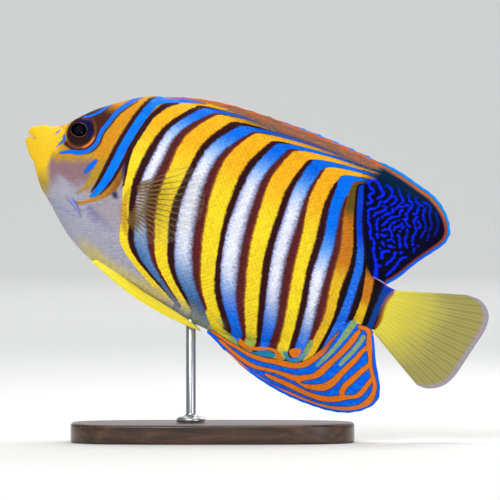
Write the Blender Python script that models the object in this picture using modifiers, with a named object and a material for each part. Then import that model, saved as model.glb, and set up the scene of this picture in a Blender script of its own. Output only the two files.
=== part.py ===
"""A regal angelfish, life size, held nose-up on a small display stand.

The fish is modelled in its own frame, in millimetres: X runs back from the upper lip, Y to its right side and Z
towards its back. One turned empty then tips it nose-up over the stand. The row frame is in metres, +Z up.
"""

import math

import bmesh
import bpy
import numpy as np
from mathutils import Matrix, Vector

MM = 0.001
GAP = 0.3                  # between one piece and the piece it grows from
PITCH = 26.0               # degrees that the fish's axis rises towards the nose
FLOOR_CLEARANCE = 12.0     # lowest fin edge above the floor

# The body without its fins, as (X, value) stations along the fish.
BODY_LENGTH = 168.0
MOUTH_TIP = (-0.4, 1.9)
BACK = [(0, 3.4), (1.5, 5.6), (4, 7.5), (8, 8.8), (12, 11.8), (16, 17.4), (20, 22.3), (25, 27.2), (30, 31.6),
        (35, 35.6), (40, 38.6), (46, 40.7), (55, 42.9), (70, 45.0), (85, 45.5), (100, 44.6), (112, 42.6),
        (124, 38.9), (134, 32.8), (143, 23.7), (150, 15.9), (155, 11.8), (160, 10.5), (168, 10.1)]
BELLY = [(0, -0.2), (1.5, -3.2), (4, -6.1), (7, -8.2), (10, -11.8), (14, -16.2), (18, -18.7), (24, -23.1),
         (32, -28.6), (40, -32.4), (50, -35.3), (62, -37.4), (76, -38.7), (90, -39.2), (102, -39.2),
         (112, -37.9), (122, -35.6), (132, -31.7), (141, -25.4), (148, -17.0), (152, -11.9), (156, -9.6),
         (162, -9.2), (168, -9.4)]
HALF_WIDTH = [(0, 1.4), (2, 2.5), (4, 3.5), (7, 4.8), (10, 5.9), (15, 7.8), (20, 9.4), (28, 11.7), (36, 13.5),
              (46, 15.2), (58, 16.3), (72, 16.4), (88, 15.2), (104, 13.0), (120, 10.1), (136, 7.1), (150, 4.8),
              (160, 3.5), (168, 2.7)]
WAIST = [(0, 1.8), (10, 0.8), (22, 2.0), (45, 0.0), (80, 1.0), (120, 1.0), (150, 0.8), (168, 0.4)]
BACK_KEEL = [(0, 1.0), (10, 0.9), (20, 0.8), (32, 1.0), (55, 1.15), (168, 1.25)]
BELLY_KEEL = [(0, 1.0), (20, 1.0), (45, 0.95), (80, 1.05), (110, 1.25), (168, 1.25)]
BODY_RINGS, BODY_SIDES = 42, 36
RING_CROWDING = 1.42       # above 1, rings stand closer together at the head

# Head
EYE_CENTRE = (19.3, 11.9)
EYE_HALF_LENGTH, EYE_HALF_HEIGHT, EYE_HALF_DEPTH = 6.2, 7.1, 3.5
EYE_PROUD = 1.7            # how far the eyeball stands out of the head
EYE_FORWARD, EYE_UP = 12.0, 13.0    # degrees that the eye looks ahead and up
ORBIT_RIM, RIM_SPREAD = 0.8, 0.1    # the rim's radius, and its core's distance outside the eyeball's widest line
CREST_HALF_WIDTH = 1.8     # the rims of the two orbits stay this far from the middle of the head
LIP_CORNER = (3.6, 2.9, 0.5)
UPPER_LIP = (0.95, 2.75, 1.2)       # front of the lip's core, its height, and its radius
LOWER_LIP = (1.35, -0.6, 1.1)
NOSTRILS = [(10.4, 7.3), (12.7, 10.6)]
NOSTRIL_RADIUS, NOSTRIL_DEPTH = 0.5, 1.2
CHEEK_SPINE_ROOT, CHEEK_SPINE_TIP = (26.0, -14.6), (34.8, -19.9)
CHEEK_SPINE_RADIUS, CHEEK_SPINE_TIP_RADIUS = 1.45, 0.3
CHEEK_SPINE_LIFT = 1.1
HEAD_REAR = [(37.0, 60), (38.5, 39), (40.5, 24), (42.2, 9), (44.4, 1), (44.8, -4), (43.2, -11), (39.8, -18),
             (34.5, -22.6), (28.0, -24.2), (22.0, -25.0), (14.0, -30.0)]
MOUTH_CORNER = (3.4, 0.75)
JAW_ANGLE, CHIN = (6.9, -2.6), (7.9, -14)
GILL_COVER = [(36.8, 11.5), (35.0, 6.5), (33.9, 0), (32.6, -7), (30.6, -13.4), (34.0, -16.4), (40.5, -15.5),
              (48.0, -10.0), (49.0, 4.0), (44.0, 11.5), (39.5, 13.6)]
GILL_COVER_PROUD, GILL_COVER_DEPTH = 0.5, 2.2

# Fins: each outer edge runs from the first ray's tip to the last one's.
FIN_EDGE = 0.5             # the thinnest membrane
SPINE_NOTCH = 0.07         # how far the skin between two spine tips is cut back
TAIL_BASE_FRONT = 155.5
TAIL_BASE_END = 166.0
DORSAL_EDGE = [(44.5, 40.2), (50, 42.9), (60, 46.6), (70, 49.2), (80, 50.9), (92, 52.5), (105, 54.0),
               (120, 54.9), (135, 55.3), (146, 55.1), (155, 53.7), (163, 52.2), (169, 49.2), (173.5, 45),
               (176, 40.5), (175.7, 36.5), (172.8, 31), (169.5, 25.5), (167, 20.5), (165.4, 16.2),
               (163.2, 12.4)]
DORSAL_SPINES, DORSAL_SOFT = 14, 18
DORSAL_SPINE_ROOTS, DORSAL_SOFT_ROOTS = (43.0, 108.0), (112.0, 159.5)
DORSAL_LAST_SPINE_TIP = 138.5
ANAL_EDGE = [(103, -40.4), (108, -42.3), (114, -44.3), (121, -46.3), (129, -48.0), (137, -49.0), (146, -49.3),
             (155, -48.6), (163, -47.3), (169, -45.3), (174, -42.2), (177.5, -38.5), (179.2, -34.5),
             (178.3, -30.5), (175.5, -26), (171.5, -20.5), (168.5, -15.5), (166, -11.4)]
ANAL_SPINES, ANAL_SOFT = 3, 18
ANAL_SPINE_ROOTS, ANAL_SOFT_ROOTS = (101.0, 108.0), (111.0, 161.0)
ANAL_LAST_SPINE_TIP = 121.0
CAUDAL_EDGE = [(193.5, 21.3), (199.3, 21.6), (202.8, 20.0), (205.4, 16.8), (206.3, 12.5), (205.8, 6), (205, 0),
               (204.3, -6), (203.4, -11.5), (201.7, -15.9), (198.2, -19.6), (194.3, -21.4), (190.8, -21.6)]
CAUDAL_RAYS = 17
CAUDAL_ROOT_X, CAUDAL_ROOT_HALF = 160.0, 7.4
PECTORAL_EDGE = [(66, 19.8), (71.8, 17.6), (76.6, 12), (79.4, 4.5), (79, -3.5), (75.4, -10.4), (69.5, -15.6),
                 (62.0, -18.2)]
PECTORAL_RAYS = 16
PECTORAL_ROOTS = [(48.5, 1.4), (52.5, -13.0)]
PECTORAL_ROOT_Y, PECTORAL_FLARE = 14.2, 0.24
PELVIC_EDGE = [(100.5, -40.9), (98.0, -39.4), (94.0, -37.8), (88.0, -36.1), (80.0, -34.4), (70.0, -33.1)]
PELVIC_RAYS = 6
PELVIC_ROOTS = [(46.5, -34.6), (49.5, -31.6)]
PELVIC_ROOT_Y, PELVIC_TIP_Y = (3.4, 4.8), (4.5, 6.8)    # across the fish, at the lowest ray and the highest
PELVIC_SAG = 3.0           # how far the folded fin bows below a straight line

# Stand
ROD_RADIUS = 2.0
ROD_FOOT_RADIUS, ROD_FOOT_HEIGHT = 6.0, 2.4
ROD_FISH_X = 95.0          # station of the belly that the rod enters
ROD_SINK = 9.0             # depth of the rod in the belly
ROD_TIP_ROUNDING = 0.4
BASE_LENGTH, BASE_WIDTH, BASE_HEIGHT = 118.0, 58.0, 8.0
BASE_BEHIND_ROD = 9.0      # the base's middle stands under the fish's balance point
BASE_ROUNDNESS = 0.62      # 1 is an ellipse, 0 a rectangle
BASE_EDGE_BEVEL = 1.2


def smooth(stations, x):
    """A smooth curve through (x, value) stations, read at x."""
    xs, ys = np.array(stations, float).T
    slopes = np.gradient(ys, xs)
    x = np.clip(x, xs[0], xs[-1])
    i = np.clip(np.searchsorted(xs, x, side="right") - 1, 0, len(xs) - 2)
    step = xs[i + 1] - xs[i]
    t = (x - xs[i]) / step
    return ((1 + 2 * t) * (1 - t) ** 2 * ys[i] + t * (1 - t) ** 2 * step * slopes[i]
            + t * t * (3 - 2 * t) * ys[i + 1] + t * t * (t - 1) * step * slopes[i + 1])


def along(points, share):
    """The point at that share of the length of a smooth line through the points."""
    points = np.array(points, float)
    knots = np.concatenate([[0], np.cumsum(np.linalg.norm(np.diff(points, axis=0), axis=1))])
    at = share * knots[-1]
    return np.array([smooth(list(zip(knots, points[:, k])), at) for k in range(points.shape[1])])


def share_at(points, x):
    """The share of the length of a line at which it first reaches x."""
    shares = np.linspace(0, 1, 400)
    return shares[np.argmax([along(points, s)[0] >= x for s in shares])]


def section_point(x, angle):
    """A point of the body's skin; angle 0 is the back, 90 degrees the right side and 180 the belly."""
    top, bottom, waist = smooth(BACK, x), smooth(BELLY, x), smooth(WAIST, x)
    keel = smooth(BACK_KEEL if math.cos(angle) > 0 else BELLY_KEEL, x)
    reach = top - waist if math.cos(angle) > 0 else waist - bottom
    side = math.copysign(abs(math.sin(angle)) ** keel, math.sin(angle))
    return Vector((x, smooth(HALF_WIDTH, x) * side, waist + reach * math.cos(angle)))


def skin_half_width(x, z):
    """Half the body's width at station x and height z."""
    top, bottom, waist = smooth(BACK, x), smooth(BELLY, x), smooth(WAIST, x)
    reach = top - waist if z > waist else waist - bottom
    return section_point(x, math.acos(max(-1.0, min(1.0, (z - waist) / reach)))).y


def link(name, mesh):
    obj = bpy.data.objects.new(name, mesh)
    fish.objects.link(obj)
    return obj


def mesh_object(name, shape):
    mesh = bpy.data.meshes.new(name)
    shape.to_mesh(mesh)
    shape.free()
    return link(name, mesh)


def evaluated_mesh(obj):
    """The object's mesh with its modifiers applied and its caps welded."""
    bpy.context.view_layer.update()
    mesh = bpy.data.meshes.new_from_object(obj.evaluated_get(bpy.context.evaluated_depsgraph_get()))
    shape = bmesh.new()
    shape.from_mesh(mesh)
    bmesh.ops.remove_doubles(shape, verts=shape.verts, dist=0.001 * MM)
    shape.to_mesh(mesh)
    shape.free()
    return mesh


def as_mesh(obj):
    """Swaps a curve, or an object with modifiers, for the plain mesh it makes."""
    name, mesh = obj.name, evaluated_mesh(obj)
    matrix = obj.matrix_world.copy()
    bpy.data.objects.remove(obj)
    made = link(name, mesh)
    mesh.transform(matrix)
    return made


def combine(obj, operation, tools, solver="EXACT"):
    """Applies one Boolean with a group of closed meshes, which are then removed."""
    group = bpy.data.collections.new("tools of " + obj.name)
    bpy.context.scene.collection.children.link(group)
    for tool in tools:
        fish.objects.unlink(tool)
        group.objects.link(tool)
    modifier = obj.modifiers.new(operation.lower(), "BOOLEAN")
    modifier.operation = operation
    modifier.solver = solver
    modifier.operand_type = "COLLECTION"
    modifier.collection = group
    mesh = evaluated_mesh(obj)
    obj.modifiers.clear()
    obj.data = mesh
    for tool in tools:
        bpy.data.objects.remove(tool)
    bpy.data.collections.remove(group)
    return obj


def keep_largest(obj):
    """Drops every loose scrap that a cut left beside the node's main body."""
    shape = bmesh.new()
    shape.from_mesh(obj.data)
    unseen, bodies = set(shape.verts), []
    while unseen:
        body, edge = set(), [unseen.pop()]
        while edge:
            vertex = edge.pop()
            body.add(vertex)
            near = {e.other_vert(vertex) for e in vertex.link_edges} & unseen
            unseen -= near
            edge.extend(near)
        bodies.append(body)
    bodies.sort(key=len)
    bmesh.ops.delete(shape, geom=[v for body in bodies[:-1] for v in body], context="VERTS")
    bmesh.ops.triangulate(shape, faces=shape.faces)
    shape.to_mesh(obj.data)
    shape.free()
    return obj


def copy_of(obj, name):
    return link(name, obj.data.copy())


def body_shell(name, offset=0.0):
    """The whole body as one closed skin, a sphere drawn out to its sections and grown by the offset."""
    shape = bmesh.new()
    bmesh.ops.create_uvsphere(shape, u_segments=BODY_SIDES, v_segments=BODY_RINGS, radius=1)
    for vertex in shape.verts:
        ring = round(math.acos(max(-1.0, min(1.0, vertex.co.z))) / math.pi * BODY_RINGS)
        angle = math.atan2(vertex.co.y, vertex.co.x)
        if ring == 0:
            vertex.co = Vector((MOUTH_TIP[0], 0, MOUTH_TIP[1]))
        elif ring == BODY_RINGS:
            vertex.co = Vector((BODY_LENGTH + 0.3, 0, 0.4))
        else:
            x = BODY_LENGTH * ((ring - 1) / (BODY_RINGS - 2)) ** RING_CROWDING
            vertex.co = section_point(x, angle)
    bmesh.ops.recalc_face_normals(shape, faces=shape.faces)
    bmesh.ops.triangulate(shape, faces=shape.faces)
    shape.normal_update()
    for vertex in shape.verts:
        vertex.co = (vertex.co + vertex.normal * offset) * MM
    return mesh_object(name, shape)


def prism(name, outline, half_width=30.0):
    """A side-view outline carried right through the fish."""
    curve = bpy.data.curves.new(name, "CURVE")
    curve.dimensions = "2D"
    curve.fill_mode = "BOTH"
    curve.extrude = half_width * MM
    spline = curve.splines.new("POLY")
    spline.points.add(len(outline) - 1)
    for point, (x, z) in zip(spline.points, outline):
        point.co = (x * MM, z * MM, 0, 1)
    spline.use_cyclic_u = True
    obj = link(name, curve)
    obj.rotation_euler.x = math.radians(90)
    return as_mesh(obj)


def tube(name, points, radii, sides=2, closed=False):
    """A smooth tapered tube through points of the fish's frame."""
    curve = bpy.data.curves.new(name, "CURVE")
    curve.dimensions = "3D"
    curve.bevel_depth = MM
    curve.bevel_resolution = sides
    curve.use_fill_caps = not closed
    spline = curve.splines.new("POLY")
    spline.use_cyclic_u = closed
    spline.points.add(len(points) - 1)
    for point, place, radius in zip(spline.points, points, radii):
        point.co = (*(c * MM for c in place), 1)
        point.radius = radius
    return as_mesh(link(name, curve))


def sides_of(outline, shares):
    return [tuple(along(outline, share)) for share in shares]


def eye_axis(side):
    """The way an eye looks, out of the head and a little ahead and up."""
    ahead, up = math.radians(EYE_FORWARD), math.radians(EYE_UP)
    return Vector((-math.sin(ahead), side * math.cos(ahead) * math.cos(up), math.sin(up)))


def across_to(axis):
    """Turns Z to the axis, while Y keeps as near to the fish's upright as it can."""
    length = Vector((0, 0, 1)).cross(axis).normalized()
    return Matrix((length, axis.cross(length), axis)).transposed().to_4x4()


def eye_middle(side):
    x, z = EYE_CENTRE
    surface = Vector((x, side * skin_half_width(x, z), z))
    return surface + eye_axis(side) * (EYE_PROUD - EYE_HALF_DEPTH)


def eyeball(name, side, grow=0.0):
    """A flattened ball whose short axis is the eye's axis."""
    shape = bmesh.new()
    bmesh.ops.create_uvsphere(shape, u_segments=18, v_segments=11, radius=1)
    turn = across_to(eye_axis(side))
    size = Matrix.Diagonal((EYE_HALF_LENGTH + grow, EYE_HALF_HEIGHT + grow, EYE_HALF_DEPTH + grow, 1))
    place = Matrix.Translation(eye_middle(side))
    bmesh.ops.transform(shape, matrix=Matrix.Scale(MM, 4) @ place @ turn @ size, verts=shape.verts)
    return mesh_object(name, shape)


def orbit_rim(side):
    """The soft rim of skin that runs round an eye on the head's surface."""
    points = []
    for angle in np.linspace(0, 2 * math.pi, 22, endpoint=False):
        x = EYE_CENTRE[0] + (EYE_HALF_LENGTH + RIM_SPREAD) * math.cos(angle)
        z = EYE_CENTRE[1] + (EYE_HALF_HEIGHT + RIM_SPREAD) * math.sin(angle)
        z = min(z, smooth(BACK, x) - CREST_HALF_WIDTH)
        points.append((x, side * max(skin_half_width(x, z) - 0.2, CREST_HALF_WIDTH), z))
    points = np.array(points)
    points = (np.roll(points, 1, axis=0) + 2 * points + np.roll(points, -1, axis=0)) / 4
    return tube("rim of the orbit", points, [ORBIT_RIM] * len(points), sides=1, closed=True)


def lip(name, front_x, height, radius):
    """A lip from one corner of the mouth round its front to the other."""
    corner_x, corner_y, corner_z = LIP_CORNER
    angles = np.linspace(-math.pi / 2, math.pi / 2, 11)
    points = [(corner_x + (front_x - corner_x) * math.cos(a), corner_y * math.sin(a),
               corner_z + (height - corner_z) * math.cos(a) ** 0.7) for a in angles]
    radii = [radius * (0.6 + 0.4 * math.cos(a)) for a in angles]
    return tube(name, points, radii)


def cheek_spine(side):
    """The spine at the lower corner of the cheek, which points back and down."""
    (x0, z0), (x1, z1) = CHEEK_SPINE_ROOT, CHEEK_SPINE_TIP
    points, radii = [], []
    for share in (0.0, 0.3, 0.6, 0.85, 1.0):
        x, z = x0 + (x1 - x0) * share, z0 + (z1 - z0) * share + 0.9 * math.sin(math.pi * share)
        lift = (CHEEK_SPINE_LIFT + CHEEK_SPINE_RADIUS * 1.1) * share ** 0.6 - CHEEK_SPINE_RADIUS * 1.1
        points.append((x, side * (skin_half_width(x, z) + lift), z))
        radii.append(CHEEK_SPINE_RADIUS + (CHEEK_SPINE_TIP_RADIUS - CHEEK_SPINE_RADIUS) * share)
    return tube("cheek spine", points, radii)


def nostril(side, x, z):
    shape = bmesh.new()
    bmesh.ops.create_cone(shape, cap_ends=True, segments=8, radius1=NOSTRIL_RADIUS, radius2=NOSTRIL_RADIUS * 0.9,
                          depth=2 * NOSTRIL_DEPTH)
    turn = eye_axis(side).to_track_quat("Z", "Y").to_matrix().to_4x4()
    place = Matrix.Translation((x, side * skin_half_width(x, z), z))
    bmesh.ops.transform(shape, matrix=Matrix.Scale(MM, 4) @ place @ turn, verts=shape.verts)
    return mesh_object("nostril", shape)


def jaw_outline(grow):
    """The lower jaw's side view, grown by the gap at its hinge and by more where the mouth stands open."""
    (corner_x, corner_z), (angle_x, angle_z), (chin_x, chin_z) = MOUTH_CORNER, JAW_ANGLE, CHIN
    open_z = corner_z + 0.6 if grow else corner_z - 0.7
    return [(-6, open_z), (corner_x - 1.2, open_z - 0.25), (corner_x, corner_z + grow),
            (angle_x + grow, angle_z + grow * 0.5), (chin_x + grow, chin_z), (-6, chin_z)]


def head_outline(grow=0.0):
    rear = sides_of(HEAD_REAR, np.linspace(0, 1, 26))
    return [(x + grow, z - grow * 0.5) for x, z in rear] + [(-20, -40), (-20, 60)]


def gill_outline(grow=0.0):
    middle = np.mean(GILL_COVER, axis=0)
    loop = sides_of(GILL_COVER + GILL_COVER[:1], np.linspace(0, 1, 31))[:-1]
    return [tuple(np.array(p) + grow * (np.array(p) - middle) / np.linalg.norm(np.array(p) - middle)) for p in loop]


def half_prism(name, outline, side):
    """The prism of an outline on one side of the fish only."""
    obj = prism(name, outline, 15.0)
    obj.data.transform(Matrix.Translation((0, side * 15.5 * MM, 0)))
    return obj


def head_parts():
    """The head, its lower jaw and the two gill covers, parted by thin cuts."""
    face = body_shell("face")
    forms = [lip("upper lip", *UPPER_LIP), lip("lower lip", *LOWER_LIP)]
    forms += [orbit_rim(side) for side in (-1, 1)] + [cheek_spine(side) for side in (-1, 1)]
    combine(face, "UNION", forms)
    combine(face, "INTERSECT", [prism("head outline", head_outline())])

    jaw = copy_of(face, "lower_jaw")
    combine(jaw, "INTERSECT", [prism("jaw", jaw_outline(0.0))])
    keep_largest(jaw)

    cuts = [prism("jaw space", jaw_outline(GAP))]
    cuts += [eyeball("socket", side, GAP) for side in (-1, 1)]
    cuts += [nostril(side, x, z) for side in (-1, 1) for x, z in NOSTRILS]
    for side in (-1, 1):
        pocket = half_prism("gill pocket", gill_outline(GAP), side)
        cuts.append(combine(pocket, "DIFFERENCE", [body_shell("floor of the pocket", -GILL_COVER_DEPTH - GAP)]))
    face.name = "head"
    for cut in cuts:
        combine(face, "DIFFERENCE", [cut])
    keep_largest(face)

    for side, name in ((-1, "gill_cover_left"), (1, "gill_cover_right")):
        cover = body_shell(name, GILL_COVER_PROUD)
        combine(cover, "INTERSECT", [half_prism("cover", gill_outline(), side)])
        combine(cover, "INTERSECT", [prism("head outline", head_outline())])
        combine(cover, "DIFFERENCE", [body_shell("gills", -GILL_COVER_DEPTH)])
        keep_largest(cover)


def trunk_parts():
    """The trunk behind the gills, with the rod's socket in its belly, and the tail's base."""
    box = [(TAIL_BASE_FRONT, -30), (TAIL_BASE_END, -30), (TAIL_BASE_END, 30), (TAIL_BASE_FRONT, 30)]
    tail_base = body_shell("tail_base")
    combine(tail_base, "INTERSECT", [prism("tail base", box)])
    keep_largest(tail_base)
    trunk = body_shell("trunk")
    rear = [(TAIL_BASE_FRONT - GAP, -60), (190, -60), (190, 60), (TAIL_BASE_FRONT - GAP, 60)]
    for cut in (prism("head space", head_outline(GAP)), prism("tail space", rear), rod_socket()):
        combine(trunk, "DIFFERENCE", [cut])
    keep_largest(trunk)


def fin(name, roots, tips, rays, rows, ray_thickness, membrane_share, spines=0, out=None):
    """A fin as a sheet with a ridge along each ray, thickest at the root.

    roots and tips give the ends of ray number r, which runs from 0 to rays - 1; out gives a point's place
    across the fish from its ray number and its share of the ray's length.
    """
    columns = 2 * (rays - 1)
    root_thick, tip_thick = ray_thickness
    shape = bmesh.new()
    bmesh.ops.create_grid(shape, x_segments=columns, y_segments=rows, size=1)
    weights = []
    for vertex in shape.verts:
        column = round((vertex.co.x + 1) / 2 * columns)
        share = (vertex.co.y + 1) / 2
        ray, between = column / 2, column % 2
        root, tip = np.array(roots(ray)), np.array(tips(ray))
        notched = ray < spines - 1 and between and share > 0.99
        reach = share * (1 - SPINE_NOTCH * notched)
        x, z = root + (tip - root) * reach
        vertex.co = Vector((x, out(ray, share) if out else 0.0, z)) * MM
        thickness = root_thick + (tip_thick - root_thick) * share ** 0.8
        weights.append(max(thickness * (membrane_share if between else 1.0), FIN_EDGE) / root_thick)
    bmesh.ops.triangulate(shape, faces=shape.faces, quad_method="FIXED")
    obj = mesh_object(name, shape)
    group = obj.vertex_groups.new(name="ray thickness")
    for index, weight in enumerate(weights):
        group.add([index], weight, "REPLACE")
    wall = obj.modifiers.new("wall", "SOLIDIFY")
    wall.thickness = root_thick * MM
    wall.offset = 0
    wall.vertex_group = group.name
    return as_mesh(obj)


def cut_from_body(obj):
    """Ends a fin on the body's skin, at the gap that touching pieces keep."""
    combine(obj, "DIFFERENCE", [body_shell("skin", GAP)])
    return keep_largest(obj)


def blend(ray, last_spine, first, second):
    """Reads one pair of ends over the spines and another over the soft rays behind them."""
    return first(ray / last_spine) if ray <= last_spine else second(ray - last_spine)


def median_fin(name, edge, profile, spines, soft, spine_roots, soft_roots, last_spine_tip, depth):
    """A fin of spines and soft rays in the fish's middle plane, on its back or its belly."""
    last, rays = spines - 1, spines + soft
    split = share_at(edge, last_spine_tip)

    def root(ray):
        start, end = soft_roots
        x = blend(ray, last, lambda t: spine_roots[0] + (spine_roots[1] - spine_roots[0]) * t,
                  lambda n: spine_roots[1] + (start - spine_roots[1]) * n if n < 1
                  else start + (end - start) * (n - 1) / (soft - 1))
        return x, smooth(profile, x) - depth

    def tip(ray):
        return along(edge, blend(ray, last, lambda t: split * t, lambda n: split + (1 - split) * n / soft))

    return cut_from_body(fin(name, root, tip, rays, 5, (2.8, 0.75), 0.6, spines))


def caudal_fin():
    def root(ray):
        return CAUDAL_ROOT_X, CAUDAL_ROOT_HALF * (1 - 2 * ray / (CAUDAL_RAYS - 1))

    def tip(ray):
        return along(CAUDAL_EDGE, ray / (CAUDAL_RAYS - 1))

    obj = fin("caudal_fin", root, tip, CAUDAL_RAYS, 5, (3.4, 0.7), 0.62)
    combine(obj, "DIFFERENCE", [prism("tail base", [(TAIL_BASE_END + GAP, -40), (TAIL_BASE_END + GAP, 40),
                                                    (140, 40), (140, -40)])])
    return keep_largest(obj)


def pectoral_fin(name, side):
    def root(ray):
        return along(PECTORAL_ROOTS, ray / (PECTORAL_RAYS - 1))

    def tip(ray):
        return along(PECTORAL_EDGE, ray / (PECTORAL_RAYS - 1))

    def out(ray, share):
        length = np.linalg.norm(tip(ray) - root(ray)) * share
        return side * (PECTORAL_ROOT_Y + PECTORAL_FLARE * length + 0.004 * length * (32 - length))

    return cut_from_body(fin(name, root, tip, PECTORAL_RAYS, 5, (1.5, 0.55), 0.6, out=out))


def pelvic_fin(name, side):
    def root(ray):
        return along(PELVIC_ROOTS, ray / (PELVIC_RAYS - 1))

    def tip(ray):
        return along(PELVIC_EDGE, ray / (PELVIC_RAYS - 1))

    def out(ray, share):
        upper = ray / (PELVIC_RAYS - 1)
        start, end = [low + (high - low) * upper for low, high in (PELVIC_ROOT_Y, PELVIC_TIP_Y)]
        return side * (start + (end - start) * share ** 0.6)

    obj = fin(name, root, tip, PELVIC_RAYS, 8, (1.4, 0.6), 0.65, out=out)
    front, rear = PELVIC_ROOTS[0][0], PELVIC_EDGE[0][0]
    for vertex in obj.data.vertices:
        share = max(0.0, min(1.0, (vertex.co.x / MM - front) / (rear - front)))
        vertex.co.z -= PELVIC_SAG * math.sin(math.pi * share) * MM
    return cut_from_body(obj)


def pose_matrix(objects):
    """Tips the fish nose-up, centres it over the origin and lifts its lowest fin clear of the floor."""
    turn = Matrix.Rotation(math.radians(PITCH), 4, "Y")
    places = [turn @ vertex.co for obj in objects for vertex in obj.data.vertices]
    ends = [place.x for place in places]
    lowest = min(place.z for place in places)
    middle = (min(ends) + max(ends)) / 2
    return Matrix.Translation((-middle, 0, FLOOR_CLEARANCE * MM - lowest)) @ turn


def rod_mouth():
    """The point of the belly that the rod enters."""
    return Vector((ROD_FISH_X, 0, smooth(BELLY, ROD_FISH_X)))


def rod_socket():
    """The upright hole in the belly for the rod, in the fish's frame."""
    shape = bmesh.new()
    bmesh.ops.create_cone(shape, cap_ends=True, segments=24, radius1=ROD_RADIUS + GAP, radius2=ROD_RADIUS + GAP,
                          depth=2 * (ROD_SINK + GAP))
    turn = Matrix.Rotation(-math.radians(PITCH), 4, "Y")
    place = Matrix.Scale(MM, 4) @ Matrix.Translation(rod_mouth()) @ turn
    bmesh.ops.transform(shape, matrix=place, verts=shape.verts)
    return mesh_object("rod socket", shape)


def stand(pose):
    """A flat base and one upright rod with a turned foot."""
    mouth = pose @ (rod_mouth() * MM)
    top = mouth.z / MM + ROD_SINK
    foot = BASE_HEIGHT + GAP
    profile = [(0, top), (ROD_RADIUS - ROD_TIP_ROUNDING, top), (ROD_RADIUS, top - ROD_TIP_ROUNDING),
               (ROD_RADIUS, foot + ROD_FOOT_HEIGHT), (ROD_FOOT_RADIUS * 0.86, foot + ROD_FOOT_HEIGHT * 0.8),
               (ROD_FOOT_RADIUS, foot + ROD_FOOT_HEIGHT * 0.4), (ROD_FOOT_RADIUS, foot), (0, foot)]
    mesh = bpy.data.meshes.new("stand_rod")
    mesh.from_pydata([(x * MM, 0, z * MM) for x, z in profile], [(i, i + 1) for i in range(len(profile) - 1)], [])
    rod = link("stand_rod", mesh)
    rod.location.x = mouth.x
    turned = rod.modifiers.new("turned", "SCREW")
    turned.steps = turned.render_steps = 20
    turned.use_merge_vertices = True
    turned.merge_threshold = 0.00001

    curve = bpy.data.curves.new("stand_base", "CURVE")
    curve.dimensions = "2D"
    curve.fill_mode = "BOTH"
    curve.extrude = BASE_HEIGHT / 2 * MM
    spline = curve.splines.new("POLY")
    angles = np.linspace(0, 2 * math.pi, 40, endpoint=False)
    spline.points.add(len(angles) - 1)
    for point, angle in zip(spline.points, angles):
        x, y = (math.copysign(abs(c) ** BASE_ROUNDNESS, c) for c in (math.cos(angle), math.sin(angle)))
        point.co = (x * BASE_LENGTH / 2 * MM, y * BASE_WIDTH / 2 * MM, 0, 1)
    spline.use_cyclic_u = True
    base = as_mesh(link("stand_base", curve))
    base.location = (mouth.x + BASE_BEHIND_ROD * MM, 0, BASE_HEIGHT / 2 * MM)
    edge = base.modifiers.new("edge", "BEVEL")
    edge.width = BASE_EDGE_BEVEL * MM
    edge.segments = 2
    edge.limit_method = "ANGLE"
    edge.angle_limit = math.radians(60)


def paint(obj, name, colour, roughness, metallic=0.0):
    material = bpy.data.materials.get(name) or bpy.data.materials.new(name)
    material.use_nodes = True
    shader = material.node_tree.nodes["Principled BSDF"]
    shader.inputs["Base Color"].default_value = (*colour, 1)
    shader.inputs["Roughness"].default_value = roughness
    shader.inputs["Metallic"].default_value = metallic
    obj.data.materials.clear()
    obj.data.materials.append(material)


for leftover in list(bpy.data.objects):
    bpy.data.objects.remove(leftover)
fish = bpy.data.collections.new("regal angelfish")
bpy.context.scene.collection.children.link(fish)

head_parts()
trunk_parts()
for side, word in ((-1, "left"), (1, "right")):
    eyeball("eye_" + word, side)
    pectoral_fin("pectoral_fin_" + word, side)
    pelvic_fin("pelvic_fin_" + word, side)
median_fin("dorsal_fin", DORSAL_EDGE, BACK, DORSAL_SPINES, DORSAL_SOFT, DORSAL_SPINE_ROOTS, DORSAL_SOFT_ROOTS,
           DORSAL_LAST_SPINE_TIP, 2.0)
median_fin("anal_fin", ANAL_EDGE, BELLY, ANAL_SPINES, ANAL_SOFT, ANAL_SPINE_ROOTS, ANAL_SOFT_ROOTS,
           ANAL_LAST_SPINE_TIP, -2.0)
caudal_fin()

posed = list(fish.objects)
pose = bpy.data.objects.new("fish pose", None)
fish.objects.link(pose)
pose.matrix_world = pose_matrix(posed)
for obj in posed:
    obj.parent = pose
stand(pose.matrix_world)

FINISHES = {
    "head": ("face skin", (0.80, 0.50, 0.06), 0.35),
    "lower_jaw": ("face skin", (0.80, 0.50, 0.06), 0.35),
    "gill_cover": ("cheek skin", (0.62, 0.40, 0.18), 0.35),
    "eye": ("eye", (0.02, 0.02, 0.05), 0.08),
    "trunk": ("banded skin", (0.86, 0.56, 0.05), 0.38),
    "tail_base": ("banded skin", (0.86, 0.56, 0.05), 0.38),
    "dorsal_fin": ("dorsal membrane", (0.03, 0.07, 0.45), 0.35),
    "anal_fin": ("anal membrane", (0.80, 0.30, 0.04), 0.35),
    "caudal_fin": ("yellow membrane", (0.72, 0.66, 0.10), 0.40),
    "pectoral_fin": ("clear membrane", (0.62, 0.55, 0.30), 0.35),
    "pelvic_fin": ("yellow membrane", (0.72, 0.66, 0.10), 0.40),
    "stand_rod": ("brushed steel", (0.60, 0.60, 0.60), 0.30, 1.0),
    "stand_base": ("dark wood", (0.05, 0.03, 0.02), 0.45),
}
for obj in fish.objects:
    for start, finish in FINISHES.items():
        if obj.type == "MESH" and obj.name.startswith(start):
            paint(obj, *finish)
            obj.data.shade_smooth()
            obj.data.set_sharp_from_angle(angle=math.radians(35))
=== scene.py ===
import math

import bmesh
import bpy
import numpy as np
from mathutils import Matrix, Vector
from mathutils.kdtree import KDTree


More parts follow.
